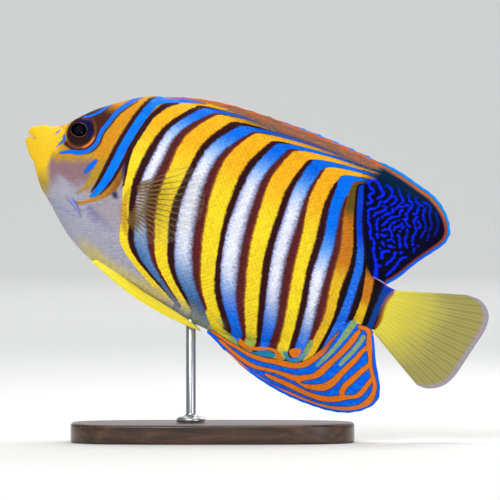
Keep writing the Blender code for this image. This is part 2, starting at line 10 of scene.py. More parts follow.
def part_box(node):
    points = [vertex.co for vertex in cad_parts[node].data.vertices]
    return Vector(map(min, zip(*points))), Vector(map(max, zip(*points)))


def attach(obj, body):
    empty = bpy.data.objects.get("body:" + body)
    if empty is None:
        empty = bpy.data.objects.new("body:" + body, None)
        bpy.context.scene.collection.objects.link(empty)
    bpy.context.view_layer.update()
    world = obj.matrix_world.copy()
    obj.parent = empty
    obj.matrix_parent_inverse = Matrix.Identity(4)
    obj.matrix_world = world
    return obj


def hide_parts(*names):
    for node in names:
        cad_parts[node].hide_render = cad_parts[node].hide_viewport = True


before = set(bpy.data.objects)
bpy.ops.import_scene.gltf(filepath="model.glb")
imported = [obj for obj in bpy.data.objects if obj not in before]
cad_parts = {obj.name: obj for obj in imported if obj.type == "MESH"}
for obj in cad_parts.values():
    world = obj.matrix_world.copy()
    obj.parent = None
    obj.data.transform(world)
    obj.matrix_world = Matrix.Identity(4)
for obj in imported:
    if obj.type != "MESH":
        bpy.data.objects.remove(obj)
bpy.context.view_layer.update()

# The fish is worked out in its own frame, in millimetres: X back from the upper lip, Y to its right side and
# Z to its back.
mm = 0.001
pitch = math.radians(26)
photo = {"size": 500, "frameWidth": 207.9, "snoutPixel": (27, 137)}

body = {
    "length": 168.0,
    "back": [(0, 3.4), (1.5, 5.6), (4, 7.5), (8, 8.8), (12, 11.8), (16, 17.4), (20, 22.3), (25, 27.2),
             (30, 31.6), (35, 35.6), (40, 38.6), (46, 40.7), (55, 42.9), (70, 45.0), (85, 45.5), (100, 44.6),
             (112, 42.6), (124, 38.9), (134, 32.8), (143, 23.7), (150, 15.9), (155, 11.8), (160, 10.5),
             (168, 10.1)],
    "belly": [(0, -0.2), (1.5, -3.2), (4, -6.1), (7, -8.2), (10, -11.8), (14, -16.2), (18, -18.7),
              (24, -23.1), (32, -28.6), (40, -32.4), (50, -35.3), (62, -37.4), (76, -38.7), (90, -39.2),
              (102, -39.2), (112, -37.9), (122, -35.6), (132, -31.7), (141, -25.4), (148, -17.0),
              (152, -11.9), (156, -9.6), (162, -9.2), (168, -9.4)],
    "halfWidth": [(0, 1.4), (2, 2.5), (4, 3.5), (7, 4.8), (10, 5.9), (15, 7.8), (20, 9.4), (28, 11.7),
                  (36, 13.5), (46, 15.2), (58, 16.3), (72, 16.4), (88, 15.2), (104, 13.0), (120, 10.1),
                  (136, 7.1), (150, 4.8), (160, 3.5), (168, 2.7)],
    "waist": [(0, 1.8), (10, 0.8), (22, 2.0), (45, 0.0), (80, 1.0), (120, 1.0), (150, 0.8), (168, 0.4)],
    "backKeel": [(0, 1.0), (10, 0.9), (20, 0.8), (32, 1.0), (55, 1.15), (168, 1.25)],
    "bellyKeel": [(0, 1.0), (20, 1.0), (45, 0.95), (80, 1.05), (110, 1.25), (168, 1.25)],
    "coatDepth": 0.22, "tailThinning": 0.45, "tailTaper": 0.62,
}


# A smooth line through (x, value) stations, read at any x.
def curveThrough(stations):
    xs, ys = np.array(stations, float).T
    slopes = np.gradient(ys, xs)

    def value(x):
        x = np.clip(x, xs[0], xs[-1])
        i = np.clip(np.searchsorted(xs, x, side="right") - 1, 0, len(xs) - 2)
        step = xs[i + 1] - xs[i]
        t = (x - xs[i]) / step
        return ((1 + 2 * t) * (1 - t) ** 2 * ys[i] + t * (1 - t) ** 2 * step * slopes[i]
                + t * t * (3 - 2 * t) * ys[i + 1] + t * t * (t - 1) * step * slopes[i + 1])
    return value


profile = {name: curveThrough(line) for name, line in body.items() if isinstance(line, list)}


# A smooth line through points, resampled at even steps of its length.
def alongLine(points, count):
    points = np.array(points, float)
    knots = np.concatenate([[0], np.cumsum(np.linalg.norm(np.diff(points, axis=0), axis=1))])
    at = np.linspace(0, 1, count) * knots[-1] if isinstance(count, int) else np.asarray(count) * knots[-1]
    return np.stack([curveThrough(np.stack([knots, points[:, k]], 1))(at) for k in range(points.shape[1])], -1)


def smoothStep(low, high, value):
    t = np.clip((value - low) / (high - low), 0, 1)
    return t * t * (3 - 2 * t)


def mix(a, b, share):
    return a + (b - a) * share


# A point of the plain body; angle 0 is the back, 90 degrees the right side and 180 the belly.
def sectionPoint(x, angle):
    top, bottom, waist = profile["back"](x), profile["belly"](x), profile["waist"](x)
    up = np.cos(angle) > 0
    keel = np.where(up, profile["backKeel"](x), profile["bellyKeel"](x))
    reach = np.where(up, top - waist, waist - bottom)
    across = np.sign(np.sin(angle)) * np.abs(np.sin(angle)) ** keel
    return np.stack([x + 0 * angle, profile["halfWidth"](x) * across, waist + reach * np.cos(angle)], -1)


# The tail's end narrows to the thickness of its fin.
def tailWidth(x):
    thin = 1 - body["tailThinning"] * smoothStep(158, 168, x)
    return thin * (1 - body["tailTaper"] * smoothStep(163, 168, x))


def skinHalfWidth(x, z):
    waist = profile["waist"](x)
    reach = np.where(z > waist, profile["back"](x) - waist, waist - profile["belly"](x))
    angle = np.arccos(np.clip((z - waist) / reach, -1, 1))
    return sectionPoint(x, angle)[..., 1]


eye = {
    "centre": (19.3, 11.9), "halfLength": 6.2, "halfHeight": 7.1, "halfDepth": 3.5, "proud": 1.7,
    "forward": 12.0, "up": 13.0, "orbit": (5.5, 6.3),
}


# How far a point lies from the eye's middle, where 1 is the rim of the orbit.
def orbitRing(x, z):
    return np.hypot((x - eye["centre"][0]) / eye["orbit"][0], (z - eye["centre"][1]) / eye["orbit"][1])


def eyeAxis(side):
    ahead, up = math.radians(eye["forward"]), math.radians(eye["up"])
    return Vector((-math.sin(ahead), side * math.cos(ahead) * math.cos(up), math.sin(up)))


def eyeMiddle(side):
    x, z = eye["centre"]
    surface = Vector((x, side * float(skinHalfWidth(x, z)), z))
    return surface + eyeAxis(side) * (eye["proud"] - eye["halfDepth"])


# The fish's frame is set on the CAD by the middle of its left eye.
turn = Matrix.Rotation(pitch, 4, "Y")
low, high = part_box("eye_left")
pose = Matrix.Translation((low + high) / 2 - turn @ (eyeMiddle(-1) * mm)) @ turn @ Matrix.Scale(mm, 4)


# Marks of the skin, as distances in millimetres that the materials turn into sharp edges.
# Each line is a list of (X, Z, width); a mark is where the distance is below nought.
faceLines = {
    "blue": [
        [(17.6, 18.0, 0.5), (19.5, 19, 0.7), (21, 20.5, 0.8), (23, 23, 0.8), (24.3, 25.5, 0.7),
         (25.5, 27.4, 0.4)],
        [(15.8, 0.4, 0.7), (18, 2, 1.2), (20, 3, 1.6), (22, 3.5, 1.7), (24, 4.7, 1.6), (25.8, 6.5, 1.5),
         (27, 9, 1.4), (27.4, 11.5, 1.4), (27, 14.5, 1.5), (27.2, 17, 1.6), (28, 20, 1.6), (28.5, 23, 1.5),
         (29.3, 26, 1.6), (30.5, 28.5, 1.6), (32, 31, 1.5), (33.3, 33.5, 1.4), (34.8, 35.4, 1.1),
         (36.5, 37.2, 0.7)],
        [(30.3, 3.7, 1.2), (29.6, 1.0, 2.1), (28.3, -2.3, 1.0)],
        [(13.8, 7.5, 0.6), (14.6, 5.5, 0.9), (13.6, 3.4, 0.5)],
    ],
    "stripe": [
        [(60.5, 44.9, 0.3), (56, 43.8, 1.0), (52, 42.4, 2.0), (50, 41.8, 2.6), (46, 40, 3.0), (43, 38.2, 3.2),
         (41.5, 36, 3.3), (40.3, 32, 3.4), (39.3, 27, 3.4), (38.7, 22, 3.4), (38.2, 17, 3.4), (38, 12, 3.5),
         (38, 6, 3.5), (37.7, 0, 3.3), (37.2, -4, 3.0), (36, -8.5, 2.2), (35.0, -10.3, 0.8)],
    ],
    "dark": [
        [(42, 38.6, 1.6), (39.6, 36, 2.6), (38.3, 32, 3.0), (37.2, 27, 3.0), (36.6, 22, 3.0), (36.1, 17, 3.0),
         (35.8, 12, 3.0), (35.7, 6, 3.0), (35.5, 0, 2.6), (35.1, -4, 2.0), (34.2, -8.5, 0.8)],
        [(50, 40, 1.0), (47, 38.5, 1.6), (45, 36, 1.9), (43.1, 31, 1.9), (41.9, 25, 1.9), (41.3, 20, 1.8),
         (40.9, 14, 1.8), (40.5, 8, 1.7), (40.4, 4, 1.6), (40.1, 1, 1.5), (39.6, -2.3, 1.4), (38.9, -5, 1.1),
         (37.9, -8, 0.5)],
        [(25, 4.3, 0.3), (27.1, 6.5, 0.8), (28.2, 9, 0.9), (28.6, 11.5, 0.9), (28.2, 14.5, 0.9),
         (28.4, 17, 0.9), (29.2, 20, 0.9), (29.7, 23, 0.9), (30.6, 26, 0.9), (31.9, 28.5, 0.8),
         (33.2, 30.7, 0.7), (35, 33.5, 0.5)],
    ],
    "spot": [[(42.4, -4.5, 2.4), (44.2, -5.8, 2.0)],
             [(41.0, 9.5, 1.0), (42.0, 6.5, 1.6), (42.6, 4.0, 1.4), (43.2, 2.0, 0.8)]],
    "orange": [
        [(37, 35.4, 1.2), (34.6, 29, 4.0), (32.6, 22, 5.2), (31.9, 15, 5.6), (31.3, 9, 6.0), (31.3, 5, 5.6),
         (32.6, 0, 4.4), (32.4, -4, 3.2), (31.6, -8, 2.0), (29, -12, 0.6)],
    ],
    "lilac": [
        [(10.2, 6.5, 0.5), (11.2, 8.5, 0.8)],
        [(13.6, 3.4, 0.6), (13, 1.6, 0.4)],
        [(18, -18.6, 0.2), (24, -19.6, 0.3), (30, -20.9, 0.4), (34.5, -20.2, 0.2)],
    ],
}
snoutEdge = curveThrough([(-30, 22), (-18.5, 18.5), (-14, 17), (-10, 15), (-6, 13.2), (-2, 13.0), (2, 14.0),
                          (8, 14.4), (14, 15.2), (20, 18)])
browPatch = [(16.5, 18.6), (20, 22.4), (25, 27.2), (30, 31.6), (35.5, 36.0), (33, 33), (30.6, 29), (28.4, 24),
             (27.6, 19), (26.7, 15), (27.2, 11.5), (26.6, 8), (24.6, 5), (20, 3.2), (15, 4.0), (13.6, 9),
             (14, 14)]
shadePatch = [(54, 43), (47, 38.5), (44.3, 35.5), (42, 31), (41, 27), (40.4, 22), (39.9, 17), (39.8, 13),
              (41.4, 8.5), (42.6, 5.8), (43.6, 3.0), (44.3, 0.5), (45.2, -2), (45.4, 0), (44.8, 2.5),
              (44.4, 4.5), (43.6, 7), (42.9, 10), (42.2, 15), (42.8, 22), (44, 30), (47, 36.5), (52.5, 42)]
tailFront = curveThrough([(-15, 166.6), (-8, 166.2), (-3.7, 165.8), (0.5, 164.9), (4.9, 164.7), (9.9, 166.3),
                          (20, 168)])

# Front and rear edge of each band at these heights: a yellow one, then the pale one behind it, seven times.
bandLevels = [-35, -24, -12, 0, 15, 30, 42]
bandEdges = [
    [(78.5, 85.5), (56.3, 60.5), (50.2, 53.1), (44.9, 48.2), (41.8, 47.1), (43.5, 49.6), (52, 56.5)],
    [(86.2, 87.8), (64, 70.2), (56, 61), (51.8, 56), (50.5, 54.8), (52.3, 56), (59, 63.5)],
    [(88.6, 93.2), (72.8, 78), (65.8, 70.9), (61.3, 66.8), (59.5, 66), (60, 66.8), (65.8, 72)],
    [(94.5, 101.5), (81.2, 89.3), (74.6, 82), (70.6, 78), (68.8, 74.6), (70, 75.5), (76.2, 82)],
    [(102.3, 108), (93, 98.5), (87.3, 93.4), (83, 89.7), (79.4, 87), (79, 86.8), (83.5, 91)],
    [(112, 116.6), (102, 108.3), (95.7, 103), (92, 99.4), (90.1, 96.4), (90.3, 95.5), (93.5, 99)],
    [(118.8, 123), (113.1, 118.3), (108.1, 113.7), (104, 109.8), (100.9, 107.5), (99.3, 106.4), (101.6, 108.8)],
    [(125, 128.2), (121.3, 126.7), (117.1, 122.6), (113.3, 119.1), (110.7, 116.7), (109.1, 114.7),
     (110.2, 115.7)],
    [(133, 136.8), (130.9, 134.9), (127.6, 132.1), (124.3, 128.8), (120.7, 126), (116.7, 123), (117, 123.3)],
    [(139.5, 142.5), (137.6, 142), (135.2, 139.4), (131.6, 137), (129.5, 134.2), (125.7, 130.5),
     (124.3, 129.4)],
    [(144.2, 146.5), (144.2, 147.2), (144.2, 147.2), (140.9, 144.7), (138.1, 142.9), (132.6, 136.4),
     (130.3, 131.6)],
    [(148.5, 151), (148.8, 151.8), (149, 152.8), (148.1, 151.2), (145, 148.4), (137.8, 140.2), (132.6, 135.8)],
    [(154, 157), (155, 158), (155.6, 159), (154.8, 157.8), (149.8, 153.3), (142, 143.2), (137.2, 138.2)],
    [(160.5, 163), (161, 163.4), (161.6, 164), (160.8, 163.6), (158.6, 168), (145, 147), (140, 142)],
]
bandStops = (0.0, 0.30, 0.46, 0.80)      # where in its period a yellow band starts and ends, and a pale one


# Lines traced on the photograph, in pixels of its 500 x 500 frame, as (across, down, width).
tracedLines = {
    "maze": [
        [(368.2, 183, 2.6), (370.3, 187.5, 2.6), (374, 191.7, 2.4), (369, 195.8, 2.4), (371.9, 201.7, 2.4),
         (367.3, 203.8, 2.4)],
        [(368.2, 183, 2.6), (372, 179.5, 2.4), (377.8, 182.5, 3), (381, 189, 3), (383.6, 194.2, 3),
         (377.8, 198.3, 2.4)],
        [(380.7, 201.3, 2.2), (377.3, 207.1, 2.2), (368.6, 210, 2.2), (368.6, 217.5, 2.2), (368, 221.7, 2.2),
         (370.3, 226.3, 2.2), (370.3, 236.3, 2.4), (374, 242, 2.5), (373.4, 250.8, 2.7), (375.7, 262, 3),
         (376.1, 271.2, 4), (375.7, 275.3, 5)],
        [(376.5, 266, 2.2), (381, 266, 2)],
        [(386.9, 185.4, 2.4), (391.9, 190, 2.4), (391.5, 195.4, 2.4), (384.4, 202.5, 2.4)],
        [(392.8, 195.8, 2), (396.5, 198.8, 2), (395.3, 201.7, 2), (390.9, 205, 2)],
        [(398.6, 187.5, 2), (401.1, 196.3, 2), (402.8, 199.2, 2), (402.8, 202.5, 2), (400.7, 202.5, 2)],
        [(409, 193.8, 2), (408.6, 197.5, 2), (413.2, 205, 2)],
        [(383.2, 205.8, 1.8), (387.3, 207.5, 1.8)],
        [(385.5, 209.6, 2.1), (379.4, 212.3, 2.1), (375.7, 213.3, 2.1), (373.6, 216.3, 2.1)],
        [(392.8, 209.2, 2.4), (392.8, 212.5, 2.4)],
        [(389.8, 213.3, 2.1), (384, 215.4, 2.1), (382.3, 217.3, 2.1)],
        [(396.5, 208.3, 2), (398.2, 206, 2), (403.2, 207.1, 2)],
        [(402.8, 210.4, 2), (400.3, 210.8, 2), (399.4, 215.4, 2), (390.3, 217.7, 2), (385.7, 222.5, 2.1),
         (382.3, 225.2, 2.1)],
        [(406.1, 205, 2), (411.5, 208.1, 2), (408.6, 210.4, 2), (406.9, 214.6, 2), (406.9, 219.2, 2),
         (403.2, 219.4, 2)],
        [(406.9, 214.6, 1.8), (404.4, 214.4, 1.8)],
        [(378.2, 218.8, 2.4), (376.7, 222.1, 2.4), (377.1, 230, 2.4)],
        [(395.9, 221.3, 2), (393.2, 222.9, 2)],
        [(391.1, 223.8, 2.1), (389, 228.3, 2.1), (382.8, 230, 2.1)],
        [(399, 220.2, 2), (399.2, 220.2, 2)],
        [(402.1, 223.3, 2.1), (400.7, 225.4, 2.1), (395, 227.7, 2.1), (394, 229.6, 2.1)],
        [(405.7, 222.5, 1.8), (409.8, 226.7, 1.8)],
        [(404.4, 226.5, 1.6), (401.9, 228.3, 1.4)],
        [(400.3, 231, 2.6), (400.5, 231, 2.6)],
        [(406.9, 229.6, 2.4), (407.8, 231.7, 2.4)],
        [(377.3, 234.2, 3), (377.3, 237, 3)],
        [(381.5, 235.2, 2.4), (384.6, 235.8, 2.2), (387.5, 234.7, 1.4)],
        [(390.7, 230.8, 2.1), (392.3, 236.3, 2.1)],
        [(397.8, 234.6, 2.4), (399, 236.7, 2.4)],
        [(406.9, 235, 2), (404.8, 240, 2), (407.1, 247.8, 2)],
        [(418.3, 207.1, 2), (416, 213.8, 2), (413.3, 214, 2)],
        [(417.1, 217.1, 2), (413.8, 220.8, 2), (414.4, 224.6, 2)],
        [(417.9, 221.3, 2), (420.4, 225.8, 2), (419.2, 227.9, 2)],
        [(415.6, 227.9, 2.2), (416, 230.8, 2.2), (412.5, 238.3, 2.2), (412.8, 244.5, 2.2)],
        [(416.3, 196.7, 1.8), (416, 200.8, 1.8), (422.5, 206.3, 1.8)],
        [(425, 207.9, 1.9), (423.1, 215.4, 1.9), (425.8, 226.7, 1.9), (421, 237.5, 1.9)],
        [(422.9, 201.7, 1.8), (430.4, 206.7, 1.8), (429.6, 215.8, 1.8), (431.5, 226.7, 1.8),
         (428.8, 230.8, 1.8)],
        [(428.8, 233.8, 1.8), (427.1, 240, 1.8)],
        [(435.8, 212.5, 1.7), (437.1, 218.3, 1.7), (437.7, 227.9, 1.7), (434.2, 235.4, 1.7)],
        [(418.2, 245.8, 2.4), (418.4, 245.8, 2.4)],
        [(382.3, 242, 2.3), (384, 245.3, 2.3)],
        [(387.3, 240.8, 2), (391.9, 239.5, 2), (394, 241.6, 2)],
        [(389, 246, 2.6), (394, 247.4, 2.4)],
        [(379.4, 247.4, 1.6), (380.7, 248.7, 1.6)],
        [(388.6, 251.2, 2.6), (381.9, 252.4, 2.8), (381.9, 257.8, 2.8)],
        [(395, 252.4, 2.5), (394.4, 255.8, 2.5), (386.1, 264.5, 2.5)],
        [(401.1, 252.4, 3), (401.3, 252.4, 3)],
        [(406.1, 257, 2.2), (401.5, 258.7, 2.2), (395.7, 266.2, 2.2), (386.5, 275.3, 2.2)],
        [(399.6, 239.5, 2.2), (400.3, 247, 2.2)],
        [(414.4, 248.7, 2.2), (413.6, 252, 2.2)],
    ],
    "analOrange": [
        [(203.5, 332.5, 1.5), (208, 336.5, 2.8), (213, 341, 2.6), (218, 346, 0.8)],
        [(226, 350.5, 1.2), (230, 355, 3), (240, 363.5, 3), (250, 371.7, 3.4), (260, 378, 3.4),
         (270, 385.2, 3.6), (282, 390.8, 4), (290, 394, 4), (300, 398.5, 4.2), (310, 402.7, 4.3),
         (320, 406, 4.6), (330, 408.4, 5), (340, 409.4, 5.4), (350, 409.3, 5.8), (358, 408, 6.2),
         (364, 405.3, 6.6), (368.5, 401.5, 6.4), (371.8, 397, 5.6), (374, 391.5, 4.8), (374.8, 386, 4.3),
         (374, 380, 3.8), (372.3, 374, 3.8), (370.8, 368, 4), (370, 355, 4.2), (369.5, 349, 5.5),
         (369.3, 341, 6.4), (369.3, 334, 5), (367.5, 330, 4.5), (359.5, 327, 4)],
        [(218.5, 339.5, 1.2), (222, 342.3, 2.8), (230, 349.5, 3.2), (238, 356.3, 3.5), (246, 362, 4),
         (255, 366.8, 4), (265, 369.2, 3.6), (275, 371.4, 3.4), (285, 374.8, 4.6), (295, 378, 6),
         (300, 378.5, 6.3), (305, 377.6, 5.6), (310, 377, 5.6), (315, 375.6, 6), (319, 373.3, 7),
         (326, 367, 6.6), (334, 359.5, 5.6), (342, 352, 5.8), (350, 343.5, 6), (356, 335.5, 5.4),
         (359, 331.5, 4)],
        [(209.5, 330.5, 1), (214, 333, 2.4), (222, 338, 3), (230, 343.5, 3.2), (238, 348, 3), (246, 353, 3.4),
         (255, 357, 4.4), (265, 360, 4.6), (275, 361.8, 5), (285, 364, 6), (295, 365.7, 5.8), (305, 364.2, 6),
         (310, 361.5, 5.6), (315, 358, 5.4), (320, 354, 5.6), (325, 349.3, 4.6), (331, 341, 3.2),
         (339, 332, 1.6)],
        [(240, 340, 3), (241, 342.5, 5.6), (243.5, 345.5, 4), (250, 348, 4), (260, 348.7, 3.6), (270, 349, 3),
         (277, 352.5, 4), (279, 356, 4.6), (280, 360, 5)],
        [(264.5, 374, 1), (268, 375.7, 3.2), (276, 379.4, 4.4), (284, 382.8, 4.6), (292, 386.5, 5),
         (300, 390.5, 4.8), (310, 394.7, 4.6), (320, 398, 5.4), (330, 399.3, 5.8), (340, 398.3, 6),
         (345, 397.5, 5), (355, 396.6, 4), (358, 395.5, 5), (361, 393, 5.2), (367, 385.7, 4.8),
         (372, 378.5, 4)],
        [(342, 397, 5), (342.3, 391, 5.8), (344.5, 387, 6), (352, 380, 5.8), (360, 372.5, 5.4), (369, 365, 5)],
        [(297, 381, 3), (302, 384.5, 2.4), (306, 386, 4), (315, 387.5, 6), (325, 386.8, 7.6),
         (332, 382.8, 7.4), (340, 374.7, 5.8), (348, 366.8, 5.6), (356, 359, 5.2), (362, 351.7, 4.6),
         (368, 347, 4.8)],
        [(291.5, 351.5, 5), (294.5, 353, 9.5), (299, 351, 5.5)],
    ],
    "teal": [
        [(244, 350.5, 1.6), (250, 352.7, 2.4), (262, 354, 4.4), (268, 354, 6.6), (273, 355.3, 4.6)],
        [(285, 353, 4), (287, 357.5, 4), (292, 360.7, 3.6), (298, 360, 4), (303, 356.5, 5), (307, 350, 5.5),
         (311, 342.5, 5)],
        [(317, 366, 3), (322, 361, 4), (331, 352, 4), (339, 343, 4.4), (344, 336.5, 5.4), (348, 331, 6.4),
         (353.5, 323.5, 6.6)],
        [(340, 364.5, 3), (345, 359.5, 4), (354, 350, 4), (361, 341, 4.4), (363.5, 337, 4)],
    ],
    "seam": [
        [(373, 277, 0.9), (379, 280, 1.3), (384, 283, 1.3), (388.5, 285.3, 0.7)],
        [(352, 322, 0.7), (360, 325.3, 1.1), (367, 328, 1.4), (372, 330.5, 1.4), (377, 334, 0.8)],
    ],
    "finBase": [
        [(130, 189, 2), (126, 199, 6), (124.5, 211, 7.5), (125, 222, 7), (126.5, 233, 3)],
    ],
    "lowYellow": [
        [(209, 312, 6.5), (213, 321, 7), (218, 328.5, 7), (224, 333.5, 7), (230, 338.5, 7), (235, 343.5, 6),
         (238.5, 347, 4)],
    ],
}
analRoot = [(196, 328), (205, 330), (214, 333), (226, 340.5), (238, 348), (250, 355.2), (265, 360),
            (280, 362.7), (292, 365.5), (302, 365), (310, 361.5), (320, 354), (328, 345), (334, 338),
            (340, 331), (345, 325), (350, 320.5), (356, 322.5), (372, 331)]
mazeFront = [(386, 145), (381, 160), (374, 173), (366, 179), (363.5, 186), (363.5, 200), (364, 230),
             (366, 250), (367.5, 268), (372, 277)]
# Soft areas of the head, also in pixels of the photograph.
headPatches = {
    "crescentMark": [(119, 168), (122, 169), (123, 176), (121.5, 183), (118, 189), (111, 195), (104, 198.5),
                     (96, 201), (86, 203.5), (78, 205), (73, 204.5), (70.5, 201), (76, 201.5), (86, 200),
                     (94, 197), (100, 193), (106, 189.5), (109, 186), (111, 181), (115, 175)],
    "foreheadMark": [(60, 128), (64, 127), (69, 123), (75, 119.5), (82, 117.3), (90, 117), (95, 114.7),
                     (100, 112.6), (106, 109.7), (111, 106), (113, 99), (95, 99), (75, 107), (60, 116)],
}


# Turns pixels of the photograph's 500 x 500 frame into the fish's own X and Z, and widths into millimetres.
def fromPhoto(points):
    found, scale = [], photo["frameWidth"] / photo["size"]
    for px, py, *wide in points:
        across, down = (px - photo["snoutPixel"][0]) * scale, (py - photo["snoutPixel"][1]) * scale
        found.append((across * math.cos(pitch) + down * math.sin(pitch),
                      across * math.sin(pitch) - down * math.cos(pitch), *(w * scale for w in wide)))
    return found


# Counts the bands from the gills back: whole numbers are the front edges of the yellow ones.
def bandPhase(x, z):
    over = 0.5 * ((z - 43.3) + np.sqrt((z - 43.3) ** 2 + 1.44))
    start = x.copy()
    for _ in range(8):                                # above the back each band sweeps towards the tail
        first = np.interp(start, [54, 84, 101, 112, 121], [4.0, 3.1, 1.7, 1.6, 2.1])
        second = np.interp(start, [54, 84, 101], [0.13, 0.31, 0.42])
        start = x - first * over - second * over ** 2
    x, z = start, np.clip(z, bandLevels[0], bandLevels[-1])
    edges, phases = [], []
    for number, band in enumerate(bandEdges):
        start = number // 2 + (bandStops[2] if number % 2 else bandStops[0])
        end = number // 2 + (bandStops[3] if number % 2 else bandStops[1])
        for k, place in enumerate((start, end)):
            edges.append(curveThrough([(level, pair[k]) for level, pair in zip(bandLevels, band)])(z))
            phases.append(place)
    phase = (x - edges[0]) / 12 * (x < edges[0])
    for k in range(len(edges) - 1):
        phase += (phases[k + 1] - phases[k]) * np.clip((x - edges[k]) / (edges[k + 1] - edges[k]), 0, 1)
    return phase + (x > edges[-1]) * np.minimum((x - edges[-1]) / 12, 0.14)


# Distance from a line of varying width, below nought inside it.
def lineDistance(line, x, z, width=0.0):
    line = np.array(line, float)
    near = np.full_like(x, 1e3)
    for a, b in zip(line[:-1], line[1:]):
        along = b[:2] - a[:2]
        t = np.clip(((x - a[0]) * along[0] + (z - a[1]) * along[1]) / max(along @ along, 1e-9), 0, 1)
        gap = np.hypot(x - a[0] - t * along[0], z - a[1] - t * along[1])
        wide = mix(a[2], b[2], t) if len(a) > 2 else width
        near = np.minimum(near, gap - wide / 2)
    return near


# The nearest of several lines, worked out only where one of them is close.
def nearestLine(lines, x, z, far=3.0):
    near = np.full_like(x, far)
    for line in lines:
        places = np.array(line, float)
        low, high = places[:, :2].min(0) - far, places[:, :2].max(0) + far
        here = (x > low[0]) & (x < high[0]) & (z > low[1]) & (z < high[1])
        if here.any():
            near[here] = np.minimum(near[here], lineDistance(line, x[here], z[here]))
    return near


def insidePatch(patch, x, z):
    inside = np.zeros(x.shape, bool)
    for (x0, z0), (x1, z1) in zip(patch, patch[1:] + patch[:1]):
        if z0 != z1:
            inside ^= ((z0 > z) != (z1 > z)) & (x < (x1 - x0) * (z - z0) / (z1 - z0) + x0)
    return inside


def patchDistance(patch, x, z):
    gap = lineDistance(patch + patch[:1], x, z)
    return np.where(insidePatch(patch, x, z), -gap, gap)


dorsal = {
    "edge": [(44.5, 40.2), (50, 42.9), (60, 46.6), (70, 49.2), (80, 50.9), (92, 52.5), (105, 54.0),
             (120, 54.9), (135, 55.3), (146, 55.1), (155, 53.7), (163, 52.2), (169, 49.2), (173.5, 45),
             (176, 40.5), (175.7, 36.5), (172.8, 31), (169.5, 25.5), (167, 20.5), (165.1, 16.2),
             (163.4, 13.3), (162.0, 11.4)],
    "spines": 14, "soft": 18, "spineRoots": (43.0, 108.0), "softRoots": (112.0, 159.5), "lastSpineTip": 138.5,
    "sink": 3.0, "rays": 32, "perRay": 14, "rows": 70, "thick": (0.9, 0.26), "membrane": 0.62, "rayWidth": 0.62,
    "notch": 0.035, "foot": (1.5, 2.6), "scaleHeight": 1.15, "scaleLift": 0.42, "bare": 1.6,
}
anal = {
    "edge": [(103, -40.4), (108, -42.3), (114, -44.3), (121, -46.3), (129, -48.0), (137, -49.0), (146, -49.3),
             (155, -48.6), (163, -47.3), (169, -45.3), (174, -42.2), (177.5, -38.5), (179.2, -34.5),
             (178.3, -30.5), (175.5, -26), (171.5, -20.5), (168.5, -15.5), (166, -11.4)],
    "spines": 3, "soft": 18, "spineRoots": (101.0, 108.0), "softRoots": (111.0, 161.0), "lastSpineTip": 121.0,
    "sink": -3.0, "rays": 21, "perRay": 16, "rows": 60, "thick": (0.9, 0.26), "membrane": 0.62, "rayWidth": 0.6,
    "notch": 0.07, "foot": (1.5, 2.6), "scaleHeight": 1.15, "scaleLift": 0.42, "bare": 2.0,
}


fishLines = {name: [alongLine(fromPhoto(line), 4 * len(line)) for line in lines]
             for name, lines in tracedLines.items()}
fishPatches = {name: fromPhoto(patch) for name, patch in headPatches.items()}


# All marks at once for points of the skin, the scales or the fins, keyed by attribute name.
def marksAt(places, jitter=None):
    x, z = places[:, 0].copy(), places[:, 2].copy()
    if jitter is not None:
        x += jitter
    top, bottom = profile["back"](x), profile["belly"](x)
    marks = {"bandPhase": bandPhase(x, z), "height": (z - bottom) / (top - bottom), "deep": z, "back": x}
    near = x < 63
    for name, lines in faceLines.items():
        marks[name + "Mark"] = np.full_like(x, 3.0)
        marks[name + "Mark"][near] = nearestLine(lines, x[near], z[near])
    marks["snoutMark"] = x - snoutEdge(z)
    marks["orbitMark"] = orbitRing(x, z)
    for name, patch in [("browMark", browPatch), ("shadeMark", shadePatch), *fishPatches.items()]:
        marks[name] = np.full_like(x, 5.0)
        marks[name][near] = patchDistance(patch, x[near], z[near])
    marks["tailMark"] = np.where((z < top + 0.3) & (z > bottom - 0.3), x - tailFront(z), -20.0)
    edge = alongLine(dorsal["edge"], 60)
    marks["dorsalEdge"] = np.full_like(x, 30.0)
    near = z > top - 3
    marks["dorsalEdge"][near] = lineDistance(edge, x[near], z[near])
    # the rim stays off the crown beside the fin
    marks["dorsalEdge"] += 6 * smoothStep(1.3, 2.6, np.abs(places[:, 1])) * (x < 62)
    marks["maze"], marks["mazeLine"] = np.full_like(x, 30.0), np.full_like(x, 3.0)
    near = (x > 122) & (z > 0)
    front = fromPhoto(mazeFront) + [(200, 10.6), (200, 60)]
    marks["maze"][near] = patchDistance(front, x[near], z[near])
    mx, mz = x[near], z[near]
    wavyX = mx + 0.16 * np.sin(3.1 * mz + 1.7 * np.sin(1.3 * mx)) + 0.09 * np.sin(6.3 * mz + 2.0 * mx)
    wavyZ = mz + 0.16 * np.sin(2.7 * mx + 1.5 * np.sin(1.6 * mz)) + 0.09 * np.sin(5.9 * mx - 2.3 * mz)
    marks["mazeLine"][near] = nearestLine(fishLines["maze"], wavyX, wavyZ)
    near = (z < -4) & (x > 85)
    edge, root = alongLine(anal["edge"], 60), fromPhoto(analRoot)
    marks["analEdge"], marks["analRoot"] = np.full_like(x, 30.0), np.full_like(x, -5.0)
    bodySide = root + [(185, root[-1][1]), (185, 30), (80, 30), (80, root[0][1])]
    gap = lineDistance(root, x[near], z[near])
    marks["analEdge"][near] = lineDistance(edge, x[near], z[near])
    marks["analRoot"][near] = np.where(insidePatch(bodySide, x[near], z[near]), -gap, gap)
    for name, near in (("analOrange", near), ("teal", near), ("lowYellow", near), ("seam", x > 140),
                       ("finBase", x < 60)):
        marks[name] = np.full_like(x, 3.0)
        marks[name][near] = nearestLine(fishLines[name], x[near], z[near])
    return marks


